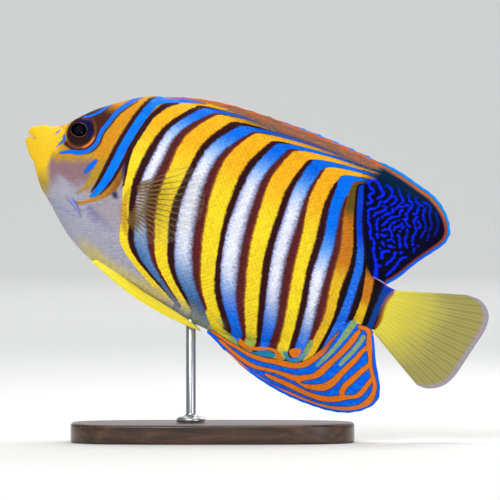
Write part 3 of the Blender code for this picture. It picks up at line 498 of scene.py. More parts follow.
def storeMarks(mesh, marks):
    for name, values in marks.items():
        layer = mesh.attributes.new(name, "FLOAT", "POINT")
        layer.data.foreach_set("value", np.ascontiguousarray(values, np.float32))


# A mesh from a grid of points, closed round its second direction where asked.
def gridMesh(name, points, wrap=False, capStart=None, capEnd=None):
    rows, columns = points.shape[:2]
    index = np.arange(rows * columns).reshape(rows, columns)
    if wrap:
        index = np.concatenate([index, index[:, :1]], 1)
    faces = np.stack([index[:-1, :-1], index[1:, :-1], index[1:, 1:], index[:-1, 1:]], -1)
    faces = faces.reshape(-1, 4).tolist()
    places = points.reshape(-1, 3)
    if capStart is not None:
        places = np.vstack([places, capStart])
        faces += [(len(places) - 1, index[0, k], index[0, k + 1]) for k in range(index.shape[1] - 1)]
    if capEnd is not None:
        places = np.vstack([places, capEnd])
        faces += [(len(places) - 1, index[-1, k + 1], index[-1, k]) for k in range(index.shape[1] - 1)]
    mesh = bpy.data.meshes.new(name)
    mesh.from_pydata(places.tolist(), [], faces)
    mesh.shade_smooth()
    return mesh


def placesOf(mesh):
    flat = np.zeros(len(mesh.vertices) * 3, np.float32)
    mesh.vertices.foreach_get("co", flat)
    return flat.reshape(-1, 3).astype(float)


# Puts a finished mesh of the fish's frame into the scene as a piece.
def finishPiece(name, mesh, material, slot, *nodes, posed=True):
    if posed:
        mesh.transform(pose)
    mesh.materials.clear()
    mesh.materials.append(material)
    piece = bpy.data.objects.new(name, mesh)
    bpy.context.scene.collection.objects.link(piece)
    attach(piece, "root")
    if nodes:
        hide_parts(*nodes)


def faceOutwards(mesh):
    shape = bmesh.new()
    shape.from_mesh(mesh)
    bmesh.ops.recalc_face_normals(shape, faces=shape.faces)
    shape.to_mesh(mesh)
    shape.free()
    return mesh


# Small helpers for node trees.
def tint(red, green, blue):
    parts = [c / 255 for c in (red, green, blue)]
    return tuple(((c + 0.055) / 1.055) ** 2.4 if c > 0.04 else c / 12.92 for c in parts) + (1,)


def put(tree, kind, values=None, out=0, **settings):
    made = tree.nodes.new(kind)
    for key, value in settings.items():
        setattr(made, key, value)
    for key, value in (values or {}).items():
        if isinstance(value, bpy.types.NodeSocket):
            tree.links.new(value, made.inputs[key])
        else:
            made.inputs[key].default_value = value
    return made.outputs[out]


def calc(tree, operation, a, b=0.0, clamp=False):
    return put(tree, "ShaderNodeMath", {0: a, 1: b}, operation=operation, use_clamp=clamp)


def plus(tree, a, b, clamp=False):
    return calc(tree, "ADD", a, b, clamp)


def minus(tree, a, b):
    return calc(tree, "SUBTRACT", a, b)


def times(tree, a, b):
    return calc(tree, "MULTIPLY", a, b)


# Noise set round nought, at a given size.
def wobble(tree, value, size):
    return times(tree, minus(tree, value, 0.5), size)


def ramp(tree, value, fromLow, fromHigh, toLow=0.0, toHigh=1.0):
    return put(tree, "ShaderNodeMapRange", {0: value, 1: fromLow, 2: fromHigh, 3: toLow, 4: toHigh},
               interpolation_type="SMOOTHSTEP")


def blend(tree, share, a, b):
    return put(tree, "ShaderNodeMix", {0: share, 6: a, 7: b}, out=2, data_type="RGBA")


def mark(tree, name):
    return put(tree, "ShaderNodeAttribute", attribute_name=name, out=2)


# Lays a colour over another where a mark lies between two distances.
def paintMark(tree, under, name, color, start, end, low=0.0, high=1.0):
    return blend(tree, ramp(tree, mark(tree, name), start, end, low, high), under, color)


def noise(tree, scale, detail=3.0, place=None, rough=0.5, warp=0.0):
    place = place or put(tree, "ShaderNodeTexCoord", out=3)
    return put(tree, "ShaderNodeTexNoise", {"Vector": place, "Scale": scale, "Detail": detail,
                                            "Roughness": rough, "Distortion": warp})


def newGroup(name, inputs, outputs):
    group = bpy.data.node_groups.new(name, "ShaderNodeTree")
    for label, kind, default in inputs:
        group.interface.new_socket(label, in_out="INPUT", socket_type=kind).default_value = default
    for label, kind in outputs:
        group.interface.new_socket(label, in_out="OUTPUT", socket_type=kind)
    return group, group.nodes.new("NodeGroupInput").outputs, group.nodes.new("NodeGroupOutput").inputs


paint = {
    "yellow": tint(255, 224, 42), "warm": tint(255, 184, 32), "green": tint(140, 170, 84),
    "pale": tint(240, 243, 255), "paleFront": tint(150, 160, 236), "paleRear": tint(150, 150, 196),
    "blue": tint(8, 112, 240), "skyBlue": tint(104, 172, 250), "lowSky": tint(124, 166, 220),
    "mutedBlue": tint(58, 112, 172), "lowGrey": tint(82, 92, 118), "deepBlue": tint(0, 62, 210),
    "tailBlue": tint(12, 68, 152), "topBlue": tint(0, 118, 246), "maroon": tint(54, 18, 24),
    "redBrown": tint(100, 38, 36), "brownEdge": tint(176, 100, 36), "black": tint(14, 10, 16),
    "oliveBrown": tint(104, 84, 22), "rearOrange": tint(206, 126, 30), "rearYellow": tint(238, 192, 38),
    "snoutTop": tint(255, 196, 36), "snout": tint(246, 200, 42), "chin": tint(178, 152, 66),
    "cheek": tint(150, 118, 124), "cheekLow": tint(170, 162, 172), "gold": tint(200, 152, 46),
    "goldLow": tint(188, 150, 46), "behindEye": tint(222, 150, 28), "gillEnd": tint(166, 134, 88),
    "brow": tint(72, 32, 18), "browTop": tint(218, 142, 24), "forehead": tint(64, 50, 50),
    "spot": tint(38, 40, 92), "fringe": tint(30, 24, 60), "crescent": tint(150, 94, 28),
    "crescentLow": tint(190, 134, 50), "chest": tint(130, 118, 162), "chestLight": tint(172, 171, 188),
    "finBase": tint(190, 142, 38), "belly": tint(164, 168, 184), "bellyGold": tint(178, 164, 96),
    "rimGold": tint(212, 196, 118), "bellyGreen": tint(152, 164, 150), "throat": tint(160, 166, 178),
    "lilac": tint(150, 130, 210), "faceBlue": tint(0, 112, 255), "stripeBlue": tint(0, 134, 255),
    "orbit": tint(112, 64, 40), "coral": tint(226, 128, 62), "navy": tint(0, 2, 36),
    "mazeTop": tint(0, 38, 66), "maze": tint(0, 40, 245), "mazeFar": tint(0, 26, 150),
    "dorsalOrange": tint(220, 104, 50), "dorsalInside": tint(182, 112, 74), "dorsalStreak": tint(128, 98, 84),
    "dorsalShade": tint(92, 72, 98), "dorsalDeep": tint(0, 54, 112), "dull": (0.35, 0.42, 0.5, 1),
    "rearRim": tint(176, 70, 40), "marginBlue": tint(0, 146, 255), "analOrange": tint(232, 124, 28),
    "analRed": tint(192, 100, 62), "analBlue": tint(0, 98, 240), "analTeal": tint(30, 140, 180),
    "analGreen": tint(156, 178, 84), "tail": tint(230, 216, 58), "seam": tint(158, 154, 224),
    "cyan": tint(0, 150, 240),
}


# Fine streaks that run along the fish, from its own coordinates in millimetres.
def streaks(tree, along, upwards, detail=2.0):
    place = put(tree, "ShaderNodeCombineXYZ", {0: times(tree, mark(tree, "back"), along),
                                               1: times(tree, mark(tree, "deep"), upwards)})
    return noise(tree, 1.0, detail, place, 0.55)


# How far a place in the side view lies from (x, z).
def distanceFrom(tree, back, deep, x, z):
    place = put(tree, "ShaderNodeCombineXYZ", {0: back, 1: deep})
    return put(tree, "ShaderNodeVectorMath", {0: place, 1: (x, z, 0)}, out=1, operation="DISTANCE")


# A window between two values with soft sides.
def window(tree, value, low, high, soft):
    return times(tree, ramp(tree, value, low - soft, low + soft), ramp(tree, value, high + soft, high - soft))


# Bands of the flank: yellow and pale ones with a dark line between, warm above and blue at both ends.
def bandGroup():
    group, given, gives = newGroup("flankBands", [("Wander", "NodeSocketFloat", 0.05)],
                                   [("Color", "NodeSocketColor")])
    wander = wobble(group, streaks(group, 0.7, 1.5), given["Wander"])
    phase = plus(group, mark(group, "bandPhase"), wander)
    part = calc(group, "FRACT", phase)
    deep, back = mark(group, "deep"), mark(group, "back")
    yellow = blend(group, ramp(group, deep, 10, 32), paint["yellow"], paint["warm"])
    sixth = blend(group, ramp(group, deep, 2, 12), paint["rearYellow"], paint["rearOrange"])
    sixth = blend(group, ramp(group, deep, 26, 33), sixth, paint["oliveBrown"])
    yellow = blend(group, window(group, phase, 4.9, 5.42, 0.02), yellow, sixth)
    seventh = blend(group, ramp(group, deep, -4, 2), paint["rearYellow"], paint["rearOrange"])
    seventh = blend(group, ramp(group, deep, 9, 15), seventh, paint["black"])
    yellow = blend(group, ramp(group, phase, 5.88, 5.92), yellow, seventh)
    low = times(group, ramp(group, deep, -31, -36), ramp(group, back, 98, 112))
    yellow = blend(group, times(group, low, 0.8), yellow, paint["green"])
    grain = streaks(group, 0.5, 2.4, 3)
    feather = wobble(group, grain, 0.9)
    across = plus(group, ramp(group, part, bandStops[2], bandStops[3]), feather)
    pale = blend(group, ramp(group, across, -0.12, 0.16), paint["paleFront"], paint["pale"])
    pale = blend(group, ramp(group, across, 0.72, 1.12), pale, paint["paleRear"])
    top = plus(group, deep, times(group, feather, 10))
    pale = blend(group, ramp(group, top, 19, 35), pale, paint["skyBlue"])
    pale = blend(group, ramp(group, top, 28, 40), pale, paint["blue"])
    lowBlue = blend(group, ramp(group, back, 88, 106), paint["mutedBlue"], paint["blue"])
    lowBlue = blend(group, times(group, ramp(group, deep, -27, -34), ramp(group, back, 108, 96)), lowBlue,
                    paint["lowGrey"])
    lowEnd = minus(group, deep, ramp(group, back, 62, 74, 5, 0))
    lowTop = minus(group, lowEnd, times(group, feather, 12))
    pale = blend(group, ramp(group, lowTop, -8, -24, 0, 0.75), pale, paint["lowSky"])
    lowShare = plus(group, ramp(group, lowEnd, -14, -31), times(group, feather, 0.8), True)
    pale = blend(group, times(group, lowShare, ramp(group, lowEnd, -6, -14)), pale, lowBlue)
    fifth = blend(group, ramp(group, top, 0, 14), pale, paint["skyBlue"])
    fifth = blend(group, ramp(group, top, 9, 22), fifth, paint["topBlue"])
    pale = blend(group, window(group, phase, 4.42, 4.86, 0.02), pale, fifth)
    sixth = blend(group, ramp(group, grain, 0.5, 0.72, 0, 0.6), paint["blue"], paint["paleFront"])
    sixth = blend(group, ramp(group, deep, 14, 26), sixth, paint["deepBlue"])
    pale = blend(group, ramp(group, phase, 5.4, 5.44), pale, sixth)
    seventh = blend(group, ramp(group, deep, 13, 4), paint["deepBlue"], paint["tailBlue"])
    seventh = blend(group, times(group, ramp(group, grain, 0.5, 0.75, 0, 0.45), ramp(group, deep, 12, 2)),
                    seventh, paint["maroon"])
    pale = blend(group, ramp(group, phase, 6.3, 6.36), pale, seventh)
    dark = blend(group, ramp(group, part, 0.76, 0.88), paint["maroon"], paint["redBrown"])
    dark = blend(group, ramp(group, streaks(group, 0.25, 0.8), 0.4, 0.75, 0, 0.35), dark, paint["black"])
    dark = blend(group, ramp(group, phase, 5.3, 5.4, 0, 0.9), dark, paint["black"])
    # the dark lines thin out where the bands sweep back over the spiny fin
    sweep = times(group, ramp(group, mark(group, "height"), 0.985, 1.03), ramp(group, back, 134, 128))
    yellowEnd = ramp(group, sweep, 0, 1, bandStops[1], 0.365)
    paleStart = ramp(group, sweep, 0, 1, bandStops[2], 0.40)
    paleEnd = ramp(group, sweep, 0, 1, bandStops[3], 0.92)
    yellowStart = ramp(group, sweep, 0, 1, 0.975, 0.94)
    color = blend(group, ramp(group, minus(group, part, yellowEnd), -0.025, 0.03, 1, 0), dark, yellow)
    inPale = times(group, ramp(group, minus(group, part, paleStart), -0.03, 0.035),
                   ramp(group, minus(group, part, paleEnd), 0.045, -0.045))
    color = blend(group, inPale, color, pale)
    toYellow = minus(group, part, yellowStart)
    edge = blend(group, ramp(group, phase, 5.3, 5.4), paint["brownEdge"], paint["black"])
    color = blend(group, ramp(group, toYellow, -0.05, 0.0, 0, 0.8), color, edge)
    color = blend(group, ramp(group, toYellow, -0.015, 0.02), color, yellow)
    group.links.new(color, gives["Color"])
    return group


# The head's own marks laid over what is given.
def faceGroup():
    group, given, gives = newGroup("faceMarks", [("Under", "NodeSocketColor", (1, 1, 1, 1))],
                                   [("Color", "NodeSocketColor")])
    phase, back, deep = mark(group, "bandPhase"), mark(group, "back"), mark(group, "deep")
    # how far below the snout, as the fish is posed
    down = minus(group, times(group, back, math.sin(pitch)), times(group, deep, math.cos(pitch)))
    cloud = noise(group, 300, 3, warp=0.5)
    loose = plus(group, down, wobble(group, cloud, 5.0))
    cheek = blend(group, ramp(group, loose, 15, 24), paint["cheek"], paint["cheekLow"])
    cheek = blend(group, ramp(group, loose, 11.5, 7.5), cheek, paint["gold"])
    heart = plus(group, distanceFrom(group, back, deep, 43.0, -12.0), wobble(group, cloud, 7))
    patchy = blend(group, ramp(group, heart, 2, 11), paint["chest"], paint["chestLight"])
    chest = blend(group, ramp(group, plus(group, deep, times(group, back, 0.35)), 0.5, -2.5), cheek, patchy)
    chest = blend(group, ramp(group, minus(group, back, 22), 0, -6), chest, cheek)
    chest = blend(group, times(group, ramp(group, deep, -16, -21), ramp(group, back, 34, 22)), chest,
                  paint["throat"])
    rim = plus(group, mark(group, "height"), wobble(group, cloud, 0.04))
    chest = blend(group, times(group, ramp(group, rim, 0.105, 0.045, 0, 0.85), ramp(group, back, 34, 46)),
                  chest, paint["rimGold"])
    color = blend(group, ramp(group, phase, -0.02, 0.005), chest, given["Under"])
    brow = blend(group, ramp(group, deep, 22.5, 31), paint["brow"], paint["browTop"])
    color = paintMark(group, color, "browMark", brow, -0.5, 0.7, 1, 0)
    rise = plus(group, mark(group, "foreheadMark"), times(group, cloud, 0.6))
    forehead = blend(group, ramp(group, back, 15.5, 12.5), paint["forehead"], paint["browTop"])
    forehead = blend(group, ramp(group, back, 25.5, 30), forehead, paint["browTop"])
    snout = blend(group, ramp(group, down, -1.5, -5), paint["snout"], paint["snoutTop"])
    snout = blend(group, ramp(group, loose, 11, 20), snout, paint["chin"])
    front = plus(group, mark(group, "snoutMark"), wobble(group, cloud, 3.6))
    color = blend(group, ramp(group, front, -1.8, 1.6, 1, 0), color, snout)
    color = blend(group, ramp(group, rise, 0.6, -0.1), color, forehead)
    warm = blend(group, ramp(group, down, 3, 17), paint["behindEye"], paint["goldLow"])
    warm = blend(group, ramp(group, down, 19, 25), warm, paint["gillEnd"])
    color = paintMark(group, color, "orangeMark", warm, -0.7, 0.7, 1, 0)
    orbit = blend(group, ramp(group, distanceFrom(group, back, deep, 24.6, 9.2), 4.2, 2.2), paint["orbit"],
                  paint["coral"])
    orbit = blend(group, ramp(group, back, 16.5, 14.5), orbit, paint["gold"])
    orbit = blend(group, ramp(group, down, -5.2, -8.2), orbit, paint["forehead"])
    color = paintMark(group, color, "orbitMark", orbit, 1.22, 1.14)
    color = paintMark(group, color, "spotMark", paint["spot"], 0.9, -0.8, 0, 0.9)
    color = paintMark(group, color, "shadeMark", paint["maroon"], 0.15, -0.25)
    crescent = blend(group, ramp(group, back, 43, 39), paint["crescent"], paint["crescentLow"])
    color = paintMark(group, color, "crescentMark", crescent, 0.25, -0.3)
    color = paintMark(group, color, "darkMark", paint["maroon"], 0.45, -0.5)
    rooted = times(group, ramp(group, mark(group, "finBase"), 0.9, -1.0),
                   ramp(group, streaks(group, 0.4, 2.4, 1), 0.3, 0.7, 1.0, 0.55))
    color = blend(group, rooted, color, paint["finBase"])
    color = paintMark(group, color, "lilacMark", paint["lilac"], -0.3, 0.3, 1, 0)
    blue = blend(group, ramp(group, cloud, 0.35, 0.75), paint["stripeBlue"], paint["faceBlue"])
    # a thin dark fringe keeps the blue clean of the gold beside it
    rimmed = calc(group, "MINIMUM", mark(group, "stripeMark"), mark(group, "blueMark"))
    color = blend(group, ramp(group, rimmed, 0.42, 0.12, 0, 0.6), color, paint["fringe"])
    color = paintMark(group, color, "stripeMark", blue, 0.14, -0.08)
    color = paintMark(group, color, "blueMark", paint["faceBlue"], 0.14, -0.06)
    group.links.new(color, gives["Color"])
    return group


# The back fin's edge bands and the blue maze of its soft lobe, and the lines along the fin under the tail.
def finGroup():
    group, given, gives = newGroup("finMarks", [("Under", "NodeSocketColor", (1, 1, 1, 1))],
                                   [("Color", "NodeSocketColor")])
    back, edge, deep = mark(group, "back"), mark(group, "dorsalEdge"), mark(group, "deep")
    behind = ramp(group, back, 133, 139)
    upwards = plus(group, times(group, edge, 2.0), times(group, back, 0.12))
    slant = put(group, "ShaderNodeCombineXYZ", {0: times(group, back, 0.16), 1: upwards})
    rays = minus(group, noise(group, 1.0, 2.0, slant, 0.55), 0.5)
    spiny = minus(group, 1.0, behind)
    # between two spine tips the orange steps back and the blue margin widens
    step = times(group, minus(group, 0.42, calc(group, "FRACT", mark(group, "rayNumber"))),
                times(group, spiny, ramp(group, back, 62, 84, 0.2, 0.75)))
    width = calc(group, "MINIMUM", ramp(group, back, 52, 90, 0.7, 3.6), ramp(group, back, 109, 122, 3.6, 20))
    width = plus(group, calc(group, "MINIMUM", width, ramp(group, back, 109, 122, 3.6, 5.2)),
                 times(group, rays, 2.6))
    width = put(group, "ShaderNodeMix", {0: behind, 2: width, 3: ramp(group, deep, 51, 24, 1.4, 0.5)})
    start = plus(group, ramp(group, back, 78, 108, 0.15, 0.8), ramp(group, back, 132, 146, 0, 0.45))
    inBand = minus(group, edge, plus(group, start, step))
    fading = minus(group, inBand, width)
    dulling = times(group, spiny, times(group, ramp(group, back, 66, 88), ramp(group, edge, 8.5, 3.8)))
    color = put(group, "ShaderNodeMix", {0: dulling, 6: given["Under"], 7: paint["dull"]}, out=2,
                data_type="RGBA", blend_type="MULTIPLY")
    over = times(group, times(group, ramp(group, back, 60, 84), spiny), ramp(group, fading, 2.0, 0.1, 0, 0.7))
    shade = blend(group, ramp(group, back, 104, 124), paint["dorsalShade"], paint["dorsalDeep"])
    color = blend(group, over, color, shade)
    ground = blend(group, ramp(group, deep, 52, 42), paint["mazeTop"], paint["navy"])
    far = calc(group, "MAXIMUM", ramp(group, back, 158, 172), ramp(group, deep, 44, 52))
    line = blend(group, ramp(group, far, 0.1, 0.9), paint["maze"], paint["mazeFar"])
    beads = wobble(group, streaks(group, 1.7, 1.7, 1), 0.4)
    maze = blend(group, ramp(group, plus(group, mark(group, "mazeLine"), beads), 0.34, -0.34), ground, line)
    soft = ramp(group, deep, 43, 47, 0.5, 3.6)
    color = blend(group, ramp(group, mark(group, "maze"), soft, times(group, soft, -0.9)), color, maze)
    inside = blend(group, ramp(group, rays, -0.12, 0.12), paint["dorsalInside"], paint["dorsalStreak"])
    streaky = plus(group, inBand, times(group, rays, 2.4))
    orange = blend(group, times(group, ramp(group, streaky, 0.3, 0.95), ramp(group, back, 56, 72)),
                   paint["dorsalOrange"], inside)
    orange = blend(group, times(group, behind, ramp(group, deep, 49, 42)), orange, paint["rearRim"])
    color = blend(group, times(group, ramp(group, inBand, -0.15, 0.1), ramp(group, fading, 0.5, -0.7)),
                  color, orange)
    color = blend(group, times(group, behind, window(group, inBand, -0.12, 0.1, 0.08)), color, paint["navy"])
    gaps = ramp(group, streaks(group, 0.6, 0.2), 0.5, 0.58)
    broken = calc(group, "MAXIMUM", ramp(group, back, 86, 96), gaps)
    broken = times(group, broken, ramp(group, back, 51, 54))
    margin = times(group, ramp(group, inBand, -0.05, -0.2), broken)
    marginTone = blend(group, ramp(group, deep, 46, 30), paint["marginBlue"], paint["analBlue"])
    color = blend(group, margin, color, marginTone)
    color = paintMark(group, color, "seam", paint["seam"], 0.15, -0.2, 0, 0.9)

    root, orangeLine = mark(group, "analRoot"), mark(group, "analOrange")
    green = blend(group, ramp(group, deep, -37, -26), paint["analTeal"], paint["analGreen"])
    green = blend(group, ramp(group, streaks(group, 0.9, 0.9), 0.4, 0.65, 0, 0.45), green, paint["analTeal"])
    under = blend(group, ramp(group, streaks(group, 0.5, 0.5), 0.45, 0.7, 0, 0.55), paint["analBlue"],
                  paint["cyan"])
    color = blend(group, ramp(group, root, -0.4, 0.3), color, under)
    low = blend(group, ramp(group, back, 104, 116), paint["yellow"], paint["green"])
    color = paintMark(group, color, "lowYellow", low, 0.3, -0.4)
    color = paintMark(group, color, "teal", green, 0.3, -0.3)
    near = times(group, ramp(group, orangeLine, 0.5, 0.05, 0, 0.85), ramp(group, root, -3.2, -1.2))
    color = blend(group, near, color, paint["maroon"])
    lines = blend(group, times(group, ramp(group, deep, -32, -22), ramp(group, back, 158, 152)),
                  paint["analOrange"], paint["analRed"])
    color = blend(group, ramp(group, orangeLine, 0.1, -0.22), color, lines)
    rim = ramp(group, mark(group, "analEdge"), 1.25, 1.0)
    bare = calc(group, "MAXIMUM", ramp(group, back, 120, 127), ramp(group, orangeLine, -0.1, 0.1))
    rim = times(group, rim, bare)
    color = blend(group, times(group, rim, ramp(group, root, -0.5, 0.2)), color, paint["analBlue"])
    group.links.new(color, gives["Color"])
    return group


bandsNode, faceNode, finsNode = bandGroup(), faceGroup(), finGroup()


def newMaterial(name, roughness=0.4, coat=0.0, coatRoughness=0.1, metallic=0.0):
    material = bpy.data.materials.new(name)
    material.use_nodes = True
    shader = material.node_tree.nodes["Principled BSDF"]
    shader.inputs["Roughness"].default_value = roughness
    shader.inputs["Coat Weight"].default_value = coat
    shader.inputs["Coat Roughness"].default_value = coatRoughness
    shader.inputs["Metallic"].default_value = metallic
    return material, material.node_tree, shader


def fleshMaterial(name, roughness=0.42, grain=900, relief=0.12, scales=False):
    material, tree, shader = newMaterial(name, roughness)
    shader.inputs["Specular IOR Level"].default_value = 0.06
    color = put(tree, "ShaderNodeGroup", node_tree=bandsNode)
    back, height = mark(tree, "back"), mark(tree, "height")
    patchy = wobble(tree, noise(tree, 160, 3, warp=0.6), 0.06)
    belly = ramp(tree, plus(tree, height, patchy), 0.1, 0.01)
    belly = times(tree, belly, ramp(tree, back, 112, 98))
    under = blend(tree, ramp(tree, back, 70, 84), paint["bellyGold"], paint["belly"])
    under = blend(tree, ramp(tree, back, 86, 98), under, paint["bellyGreen"])
    color = blend(tree, times(tree, belly, 0.9), color, under)
    color = put(tree, "ShaderNodeGroup", {"Under": color}, node_tree=faceNode)
    color = put(tree, "ShaderNodeGroup", {"Under": color}, node_tree=finsNode)
    color = paintMark(tree, color, "tailMark", paint["brownEdge"], -2.2, -0.3, 0, 0.75)
    color = paintMark(tree, color, "tailMark", paint["tail"], -0.7, 1.2)
    mottle = noise(tree, grain, 4)
    tone = ramp(tree, mottle, 0.25, 0.7, 0.93, 1.04)
    if scales:
        edge = ramp(tree, mark(tree, "scaleAlong"), 0.6, 1.0, 1.0, 0.93)
        tone = times(tree, times(tree, tone, mark(tree, "scaleTone")), edge)
    color = put(tree, "ShaderNodeHueSaturation", {"Color": color, "Value": tone})
    tree.links.new(color, shader.inputs["Base Color"])
    bump = put(tree, "ShaderNodeBump", {"Strength": relief, "Distance": 0.0003, "Height": mottle})
    tree.links.new(bump, shader.inputs["Normal"])
    tree.links.new(ramp(tree, mottle, 0.3, 0.7, roughness - 0.08, roughness + 0.1), shader.inputs["Roughness"])
    return material


skinMaterial = fleshMaterial("bandedSkin")
scaleMaterial = fleshMaterial("bandedScales", 0.4, 1500, 0.06, scales=True)
print("materials of the skin ready")


# The skin: the mouth's inside, the lips rolled over its rim, then rings back to the tail.
skin = {
    "sides": 264, "mouthDepth": 6.0, "cavityRings": 7, "lipRings": 12,
    "upperLip": 1.3, "lowerLip": 0.95, "cornerLip": 0.5, "lipBack": 1.45, "mouthHeight": 0.95, "lipBend": 7.0,
    "nostrils": [(10.4, 7.3), (12.4, 10.0)],
    "ringSteps": [(0, 0.16), (14, 0.22), (30, 0.36), (46, 0.5), (90, 0.72), (168, 0.8)],
}
gillEdge = [(39.6, 16.5), (41.0, 13.5), (42.6, 9), (44.0, 4.5), (44.6, 0.5), (44.3, -3), (43, -7),
            (40.3, -11.3), (36.5, -15), (32.5, -18.4), (27, -20.8), (20, -21.2)]
gillPlate = gillEdge + [(14, -17), (22, -8), (28, 6), (34, 14)]
cheekEdge = [(36.6, 12), (34.9, 6), (33.7, 0), (32.4, -7), (30.2, -13), (27, -15.6), (22, -16.8), (17, -16.8)]
cheekPlate = cheekEdge + [(10, -8), (12, 4), (25, 2), (32, 12)]


def reliefAt(x, z):
    lift = np.zeros_like(x)
    near = (x < 52) & (x > 7)
    px, pz = x[near], z[near]
    e = orbitRing(px, pz)
    ring = 0.42 * np.exp(-((e - 1.12) / 0.075) ** 2) * smoothStep(2.0, 5.5, profile["back"](px) - pz)
    part = -2.6 * smoothStep(1.02, 0.80, e) + ring
    for nx, nz in skin["nostrils"]:
        r = np.hypot(px - nx, pz - nz)
        part += -0.75 * np.exp(-(r / 0.42) ** 2) + 0.16 * np.exp(-((r - 0.75) / 0.2) ** 2)
    for edge, plate, rise, reach in ((gillEdge, gillPlate, 0.75, 7.0), (cheekEdge, cheekPlate, 0.35, 4.0)):
        gap = lineDistance(alongLine(edge, 60), px, pz)
        inside = insidePatch(plate, px, pz)
        fade = 0.35 + 0.65 * smoothStep(28, 38, px)   # the groove is faint under the cheek
        part += fade * np.where(inside, rise * np.exp(-gap / reach) * smoothStep(0, 0.35, gap + 0.12),
                                -0.18 * np.exp(-gap / 0.5))
    lift[near] = part
    return lift


def skinGrid():
    angles = np.linspace(0, 2 * math.pi, skin["sides"], endpoint=False)
    side = np.abs(np.sin(angles))
    lipBack, mouthHeight = skin["lipBack"], skin["mouthHeight"]
    lipX = lipBack + 2.9 * side ** 2.6
    outer = sectionPoint(lipX, angles)
    rim = np.stack([0.55 + 2.95 * side ** 2.2, 2.3 * np.sin(angles),
                    mouthHeight + 0.45 * np.cos(angles) * (1 - 0.8 * side ** 4)], -1)
    rings = []
    for k in range(skin["cavityRings"], 0, -1):       # the mouth's inside
        d = skin["mouthDepth"] * (k / skin["cavityRings"]) ** 1.4
        ring = rim.copy()
        ring[:, 0] = rim[:, 0] + d
        ring[:, 1] *= 1 - 0.4 * d / skin["mouthDepth"]
        ring[:, 2] = mouthHeight + (rim[:, 2] - mouthHeight) * (1 + 1.6 * min(d, 1.5))
        rings.append(ring)
    middle, arm = (outer + rim) / 2, (outer - rim) / 2
    way = np.stack([-np.ones_like(angles), 0.6 * np.sin(angles), 0.12 * np.cos(angles)], -1)
    way /= np.linalg.norm(way, axis=1)[:, None]
    upper = smoothStep(-0.4, 0.4, np.cos(angles))
    bulge = mix(mix(skin["lowerLip"], skin["upperLip"], upper), skin["cornerLip"], side ** 3)
    for k in range(skin["lipRings"] + 1):             # the lips
        turnAngle = math.pi * (1 - k / skin["lipRings"])
        rings.append(middle + arm * math.cos(turnAngle) + way * (bulge * math.sin(turnAngle))[:, None])
    startX, x = [], lipBack
    spacing = curveThrough(skin["ringSteps"])
    while x < body["length"]:
        x += float(spacing(x))
        startX.append(x)
    for x in startX:                                  # the body, whose first rings bend round the lips
        t = min((x - lipBack) / skin["lipBend"], 1.0)
        rings.append(sectionPoint(x + (lipX - lipBack) * (1 - t) ** 2, angles))
    return np.array(rings), np.array(startX)


def gridNormals(points):
    along = np.gradient(points, axis=0)
    around = np.roll(points, -1, axis=1) - np.roll(points, 1, axis=1)
    normal = np.cross(around, along)
    return normal / np.maximum(np.linalg.norm(normal, axis=-1, keepdims=True), 1e-9)


skinPoints, ringX = skinGrid()
firstRing = len(skinPoints) - len(ringX)
normals = gridNormals(skinPoints)
if normals[firstRing + 100, skin["sides"] // 4, 1] < 0:
    normals = -normals
lift = reliefAt(skinPoints[..., 0].ravel(), skinPoints[..., 2].ravel()).reshape(skinPoints.shape[:2])
lift[:firstRing] = 0
lift[firstRing:] -= body["coatDepth"] * smoothStep(5, 14, skinPoints[firstRing:, :, 0])
skinPoints = skinPoints + normals * lift[..., None]
skinPoints[..., 1] *= tailWidth(skinPoints[..., 0])
skinNormals = gridNormals(skinPoints)
if skinNormals[firstRing + 100, skin["sides"] // 4, 1] < 0:
    skinNormals = -skinNormals
skinMesh = gridMesh("skin", skinPoints, wrap=True, capStart=[skin["mouthDepth"] + 3, 0, skin["mouthHeight"]],
                    capEnd=[body["length"] + 0.2, 0, 0.4])
faceOutwards(skinMesh)
storeMarks(skinMesh, marksAt(placesOf(skinMesh)))
finishPiece("skin", skinMesh, skinMaterial, "banded_skin", "head", "lower_jaw", "gill_cover_left",
            "gill_cover_right", "trunk", "tail_base")
print("skin", len(skinMesh.polygons), "faces")


